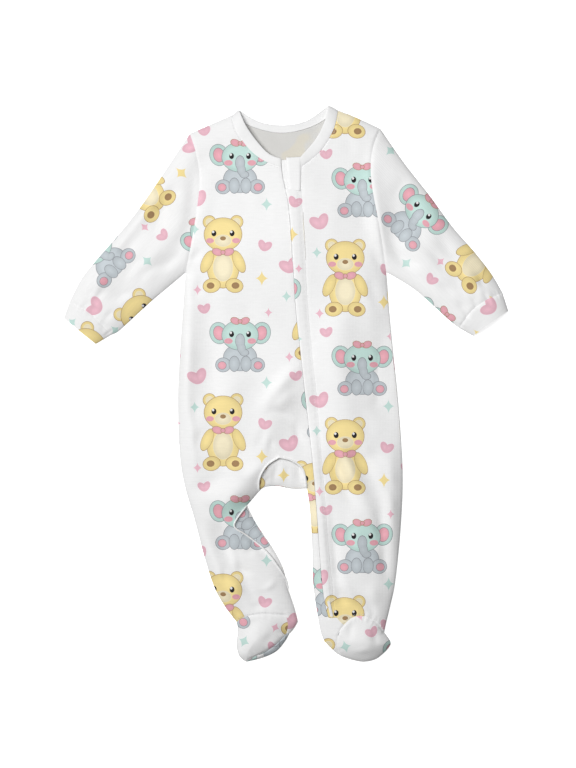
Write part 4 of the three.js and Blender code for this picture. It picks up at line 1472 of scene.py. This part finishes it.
def tube(plan):
    """Two layers of a flattened tube over one plan."""
    return [(plan, front_top, False), (plan, under_face, True)]


class SLEEPSUIT_OT_back(bpy.types.Operator):
    """Back, cut in one with the backs of the legs"""

    bl_idname = "sleepsuit.back"
    bl_label = "Back"

    def execute(self, context):
        plans = [(plan, under_face, True) for plan in back_plans()]
        cloth_piece("back_panel", plans, (0.240, 0.556), turn=180, offset=(30, 10), rests_on=())
        return {"FINISHED"}


class SLEEPSUIT_OT_fronts(bpy.types.Operator):
    """Left and right fronts, each cut in one with a leg"""

    bl_idname = "sleepsuit.fronts"
    bl_label = "Fronts"

    def execute(self, context):
        left = [(plan, front_top, False) for plan in front_left_plans()]
        cloth_piece("front_panel_left", left, (0.180, 0.575), offset=(-8, 18))
        right = [(front_right_plan(), front_top, False)]
        cloth_piece("front_panel_right", right, (0.112, 0.555), offset=(24, 64))
        return {"FINISHED"}


class SLEEPSUIT_OT_sleeves(bpy.types.Operator):
    """Sleeves and cuffs, each a tube that lies flat"""

    bl_idname = "sleepsuit.sleeves"
    bl_label = "Sleeves and cuffs"

    def execute(self, context):
        cuff = context.scene.sleepsuit_sizes.cuff
        for side, turn, offset in (("left", 46, (-150, 150)), ("right", -46, (148, 130))):
            sleeve = tube(sleeve_plan(side))
            cloth_piece("sleeve_" + side, sleeve, (0.300, 0.222), turn=turn, offset=offset)
            cuffs = {"turn": -turn, "offset": offset, "thick": cuff}
            cloth_piece("cuff_" + side, tube(cuff_plan(side)), (0.116, 0.022), **cuffs)
        return {"FINISHED"}


class SLEEPSUIT_OT_feet(bpy.types.Operator):
    """Uppers and soles of the feet"""

    bl_idname = "sleepsuit.feet"
    bl_label = "Feet"

    def execute(self, context):
        upper = tube(vamp_left_plan())
        cloth_piece("vamp_left", upper, (0.106, 0.060), turn=-24, offset=(-26, -262))
        sole = tube(sole_left_plan())
        cloth_piece("sole_left", sole, (0.022, 0.060), turn=60, offset=(20, -250))
        upper = [(vamp_right_plan(), front_top, False)]
        cloth_piece("vamp_right", upper, (0.060, 0.052), turn=16, offset=(70, -258))
        sole = [(sole_right_plan(), under_face, True)]
        cloth_piece("sole_right", sole, (0.078, 0.040), offset=(70, -258), rests_on=())
        return {"FINISHED"}


class SLEEPSUIT_OT_gussets(bpy.types.Operator):
    """Gusset of the crotch and the inner strip of the left leg"""

    bl_idname = "sleepsuit.gussets"
    bl_label = "Gussets"

    def execute(self, context):
        crotch = [(crotch_gusset_plan(), gusset_top, False)]
        cloth_piece("crotch_gusset", crotch, (0.052, 0.040), offset=(-82, -119))
        seam_roll("seam_roll_crotch", join(arch_left[::-1], arch_right), ROLL_BREADTH, ROLL_HEIGHT)
        seam_roll("seam_roll_leg", leg_seam, ROLL_BREADTH, LEG_ROLL_HEIGHT)
        leg = [(leg_gusset_plan(), gusset_top, False)]
        cloth_piece("leg_gusset_left", leg, (0.026, 0.085), turn=130, offset=(-60, -120))
        return {"FINISHED"}


class SLEEPSUIT_OT_neckband(bpy.types.Operator):
    """White band round the neck, folding over at each shoulder"""

    bl_idname = "sleepsuit.neckband"
    bl_label = "Neckband"

    def execute(self, context):
        band = context.scene.sleepsuit_sizes.band
        rows = neckband_rows()
        bm = bmesh.new()
        lay(bm, rows[..., :2], rows[..., 2])
        map_cloth(bm, 0, (0, 0))
        made = piece_from(bm, "neckband_cloth", ["jersey"], ["neckband"])
        thicken(made, band)
        return {"FINISHED"}


def neckband_rows():
    """Cross-sections of the band from the zip round the neck and back, as points with heights."""
    shares = np.array([0, 0.08, 0.25, 0.45, 0.65, 0.85, 0.95, 1.0])
    crown = BAND_CROWN * np.sqrt(np.maximum(4 * shares * (1 - shares), 0))
    half = (EDGE_MID + BAND_PROUD - BAND_REST) / 2

    def front(seam, free):
        top = front_top(seam[None])[0] + BAND_PROUD
        return np.column_stack([mix(seam, free, shares[:, None]), top + crown])

    def back(seam, free):
        heights = BAND_REST + (BAND_CROWN - crown) / 2
        return np.column_stack([mix(seam, free, shares[:, None]), heights])

    def over(seam, free, angle):
        along = (free - seam) / math.hypot(*(free - seam))
        out = np.array([-along[1], along[0]])
        if out[1] < 0:
            out = -out
        reach = (half + crown * max(math.sin(angle), 0)) * math.cos(angle) - half
        plan = mix(seam, free, shares[:, None]) + out * reach[:, None]
        heights = BAND_REST + half + (half + crown * (angle > 0)) * math.sin(angle)
        return np.column_stack([plan, heights])

    turns = np.linspace(BAND_TURN, -BAND_TURN, 9)
    left = [front(s, f) for s, f in zip(neck["leftSeam"], neck["leftFold"])][::-1]
    left_over = [over(neck["leftSeam"][0], neck["leftFold"][0], a) for a in turns]
    across = [back(s, f) for s, f in zip(neck["backSeam"], neck["backFold"])][1:-1]
    right_over = [over(neck["rightSeam"][0], neck["rightFold"][0], a) for a in turns][::-1]
    right = [front(s, f) for s, f in zip(neck["rightSeam"], neck["rightFold"])]
    return np.array(left[:-1] + left_over + across + right_over + right[1:])


class SLEEPSUIT_OT_zip(bpy.types.Operator):
    """Zip tape and coil, the flap over it, the chin guard, the slider and the stop"""

    bl_idname = "sleepsuit.zip"
    bl_label = "Zip"

    def execute(self, context):
        under = TAPE_UNDER_FRONT
        tape = zip_plan(TAPE_TOP_Y, TAPE_END_Y, under, under, 180, 16)
        looks = {"slot": "zip_tape", "looks": ("tape",), "thick": TAPE_WALL}
        cloth_piece("zip_tape", [(tape, tape_top, False)], (0.030, 0.456), **looks)
        flap = zip_plan(FLAP_TOP_Y, FLAP_END_Y, -FLAP_CLEAR, FLAP_OVER, 220, 16)
        flap = [(flap, flap_top, False)]
        over = {"offset": (24, 64), "rests_on": ["front_panel_right"]}
        cloth_piece("zip_flap", flap, (0.013, 0.440), **over)
        guard = [(guard_plan(), guard_top, False)]
        cloth_piece("chin_guard", guard, (0.018, 0.038), offset=(-58.8, 163), rests_on=["zip_flap"])
        zip_stop()
        zip_coil()
        slider = bpy.data.objects["zip_slider"]
        slider.data.materials.clear()
        slider.data.materials.append(finish("plastic"))
        return {"FINISHED"}


def seam_roll(name, points, breadth, height):
    """Rounded edge of a seam that shows as a narrow roll of the front's own cloth."""
    shares = np.linspace(-1, 1, 9)
    course = respaced(points, int(len(points) * 2))
    plan = np.stack([offset_line(course, share * breadth / 2) for share in shares], axis=1)
    tops = front_top(course)[:, None] + height * np.sqrt(1 - shares**2)[None, :] - ROLL_SINK
    bm = bmesh.new()
    lay(bm, plan, tops)
    map_cloth(bm, 0, (0, 0))
    made = piece_from(bm, name, ["jersey"])
    thicken(made, ROLL_WALL)


def zip_stop():
    """Small sewn bar over the end of the zip."""
    stop_ys = (STOP_TOP_Y, STOP_END_Y)
    centre = join(*[straight(at(BODY, "gap", y), at(BODY, "stitch", y), 2) for y in stop_ys])
    ends = centre[1], centre[-2]
    rows = straight(ends[0], ends[1], 12, close_both)
    plan = np.array([straight(p - [STOP_HALF, 0], p + [STOP_HALF, 0], 8, close_both) for p in rows])
    bm = bmesh.new()
    crown = np.sqrt(np.sin(np.linspace(0, np.pi, 9)))[None, :] * STOP_CROWN
    lay(bm, plan, flap_top(plan) + crown - STOP_SINK)
    map_cloth(bm, 0, (0, 0))
    made = piece_from(bm, "zip_stop_bar", ["tape"], ["zip_stop"])
    thicken(made, STOP_WALL)


def zip_coil():
    """Coil of the zip: two rows of turns that mesh along the middle of the tape."""
    bm = bmesh.new()
    count = int(2 * COIL_END_Y / COIL_PITCH)
    rows = np.linspace(COIL_END_Y, -COIL_END_Y, count)
    centre = np.array([mix(at(BODY, "gap", y), at(BODY, "stitch", y), 0.5) for y in rows])
    tops = tape_top(centre) + COIL_RISE
    for index, (point, top) in enumerate(zip(centre, tops)):
        side = 1 if index % 2 else -1
        place = Matrix.Translation(Vector((point[0] + side * COIL_SIDE, point[1], top)) * MM)
        bead(bm, place, [size * MM for size in COIL_TURN])
    piece_from(bm, "zip_coil", ["plastic"])


def bead(bm, place, size):
    """Adds one small rounded bead, of a size along its three axes."""
    made = bmesh.ops.create_uvsphere(bm, u_segments=6, v_segments=4, radius=0.5)
    bmesh.ops.transform(bm, matrix=place @ Matrix.Diagonal((*size, 1)), verts=made["verts"])


def stitch_run(bm, points, height):
    """Adds stitches along a line, each a bead of thread that lies on the cloth."""
    sizes = bpy.context.scene.sleepsuit_sizes
    length = float(np.hypot(*np.diff(points, axis=0).T).sum())
    count = int(length * MM / (sizes.stitch * STITCH_PITCH))
    even_points = line(points, 2 * count)
    middles = even_points[1::2]
    ends = even_points[2::2] - even_points[:-2:2]
    tops = height(middles)
    for middle, run, top in zip(middles, ends, tops):
        turn = Matrix.Rotation(math.atan2(run[1], run[0]), 4, "Z")
        place = Matrix.Translation(Vector((*middle, top)) * MM) @ turn
        bead(bm, place, (sizes.stitch, sizes.thread, sizes.thread))


class SLEEPSUIT_OT_sewing(bpy.types.Operator):
    """Rows of stitches along the flap, the neck and the feet"""

    bl_idname = "sleepsuit.sewing"
    bl_label = "Sewing"

    def execute(self, context):
        bm = bmesh.new()
        gap = down(BODY, "gap", STITCH_TOP_Y, STITCH_END_Y, 60)
        stitch = down(BODY, "stitch", STITCH_TOP_Y, STITCH_END_Y, 60)
        stitch_run(bm, mix(gap, stitch, FLAP_STITCH_SHARE), flap_top)
        piece_from(bm, "stitches_flap", ["thread"])
        bm = bmesh.new()
        for seam, side in ((neck["leftSeam"], -1), (neck["rightSeam"], 1)):
            stitch_run(bm, offset_line(seam, side * STITCH_INSET)[2:-1], front_top)
        stitch_run(bm, offset_line(vamp_seam_left, STITCH_INSET)[1:-1], front_top)
        stitch_run(bm, offset_line(vamp_seam_right, STITCH_INSET)[1:-1], front_top)
        piece_from(bm, "stitches_seams", ["thread"])
        return {"FINISHED"}


# Camera: its height over the floor and the height of what it sees there in metres, and the
# sensor's long side in mm
CAMERA_HEIGHT = 2.4
CAMERA_AT = (0.0021, -0.0005)
VIEW_HEIGHT = 0.814
SENSOR = 36
FLOOR_SIZE = 30
FLOOR_COLOUR = (0.96, 0.96, 0.96, 1)
WHITE = (1, 1, 1, 1)
SKY = 0.12
FLOOR_GLOW = 0.8
# Light from the upper left: its strength, the angle of its disc and its turn in degrees
KEY_STRENGTH = 2.04
KEY_ANGLE = 24
KEY_TURN = (-16, -32, 0)
# Soft lamp over the chest, which leaves the feet a little darker: watts, size and place in metres
LAMP_POWER = 1.64
LAMP_SIZE = 0.3
LAMP_PLACE = (-0.05, 0.17, 0.72)


class SLEEPSUIT_OT_stage(bpy.types.Operator):
    """White floor, soft light from above and one side, and a camera straight above"""

    bl_idname = "sleepsuit.stage"
    bl_label = "Stage"

    def execute(self, context):
        scene = context.scene
        bm = bmesh.new()
        bmesh.ops.create_grid(bm, x_segments=1, y_segments=1, size=FLOOR_SIZE)
        floor = object_from(bm, "Floor")
        material, tree, shader = new_material("WhitePaperSweep")
        finish_shader(tree, shader, FLOOR_COLOUR, 0.9, specular=0.1)
        shader.inputs["Emission Color"].default_value = WHITE
        shader.inputs["Emission Strength"].default_value = FLOOR_GLOW
        floor.data.materials.append(material)
        floor.visible_diffuse = False
        data = bpy.data.lights.new("Key", "SUN")
        data.energy = KEY_STRENGTH
        data.angle = math.radians(KEY_ANGLE)
        key = placed("Key", data)
        key.rotation_euler = [math.radians(t) for t in KEY_TURN]
        data = bpy.data.lights.new("Lamp", "AREA")
        data.shape = "DISK"
        data.size = LAMP_SIZE
        data.energy = LAMP_POWER
        lamp = placed("Lamp", data)
        lamp.location = LAMP_PLACE
        lamp.visible_camera = False
        world = bpy.data.worlds.new("Studio")
        world.use_nodes = True
        back = world.node_tree.nodes["Background"]
        back.inputs["Color"].default_value = WHITE
        back.inputs["Strength"].default_value = SKY
        scene.world = world
        scene.view_settings.view_transform = "Standard"
        data = bpy.data.cameras.new("Camera")
        data.sensor_width = SENSOR
        data.lens = SENSOR * CAMERA_HEIGHT / VIEW_HEIGHT
        data.clip_end = 20
        camera = placed("Camera", data)
        camera.location = (*CAMERA_AT, CAMERA_HEIGHT)
        scene.camera = camera
        return {"FINISHED"}


class SLEEPSUIT_PT_parts(bpy.types.Panel):
    """Lists the pieces of the sleepsuit and their settings"""

    bl_idname = "SLEEPSUIT_PT_parts"
    bl_label = "Sleepsuit"
    bl_space_type = "VIEW_3D"
    bl_region_type = "UI"
    bl_category = "Sleepsuit"

    def draw(self, context):
        column_of_buttons = self.layout.column()
        for operator in OPERATORS:
            column_of_buttons.operator(operator.bl_idname)
        for group in (context.scene.sleepsuit_sizes, context.scene.sleepsuit_colours):
            box = self.layout.box()
            for name in group.__annotations__:
                box.prop(group, name)


OPERATORS = [
    SLEEPSUIT_OT_back,
    SLEEPSUIT_OT_fronts,
    SLEEPSUIT_OT_sleeves,
    SLEEPSUIT_OT_feet,
    SLEEPSUIT_OT_gussets,
    SLEEPSUIT_OT_neckband,
    SLEEPSUIT_OT_zip,
    SLEEPSUIT_OT_sewing,
    SLEEPSUIT_OT_stage,
]
CLASSES = [SleepsuitSizes, SleepsuitColours, *OPERATORS, SLEEPSUIT_PT_parts]


def register():
    """Adds the classes and the scene's settings."""
    for one in CLASSES:
        bpy.utils.register_class(one)
    bpy.types.Scene.sleepsuit_sizes = PointerProperty(type=SleepsuitSizes)
    bpy.types.Scene.sleepsuit_colours = PointerProperty(type=SleepsuitColours)


def unregister():
    """Takes the settings and the classes away."""
    del bpy.types.Scene.sleepsuit_colours
    del bpy.types.Scene.sleepsuit_sizes
    for one in reversed(CLASSES):
        bpy.utils.unregister_class(one)


def main():
    """Builds every piece."""
    register()
    for operator in OPERATORS:
        group, name = operator.bl_idname.split(".")
        getattr(getattr(bpy.ops, group), name)()


if __name__ == "__main__":
    main()
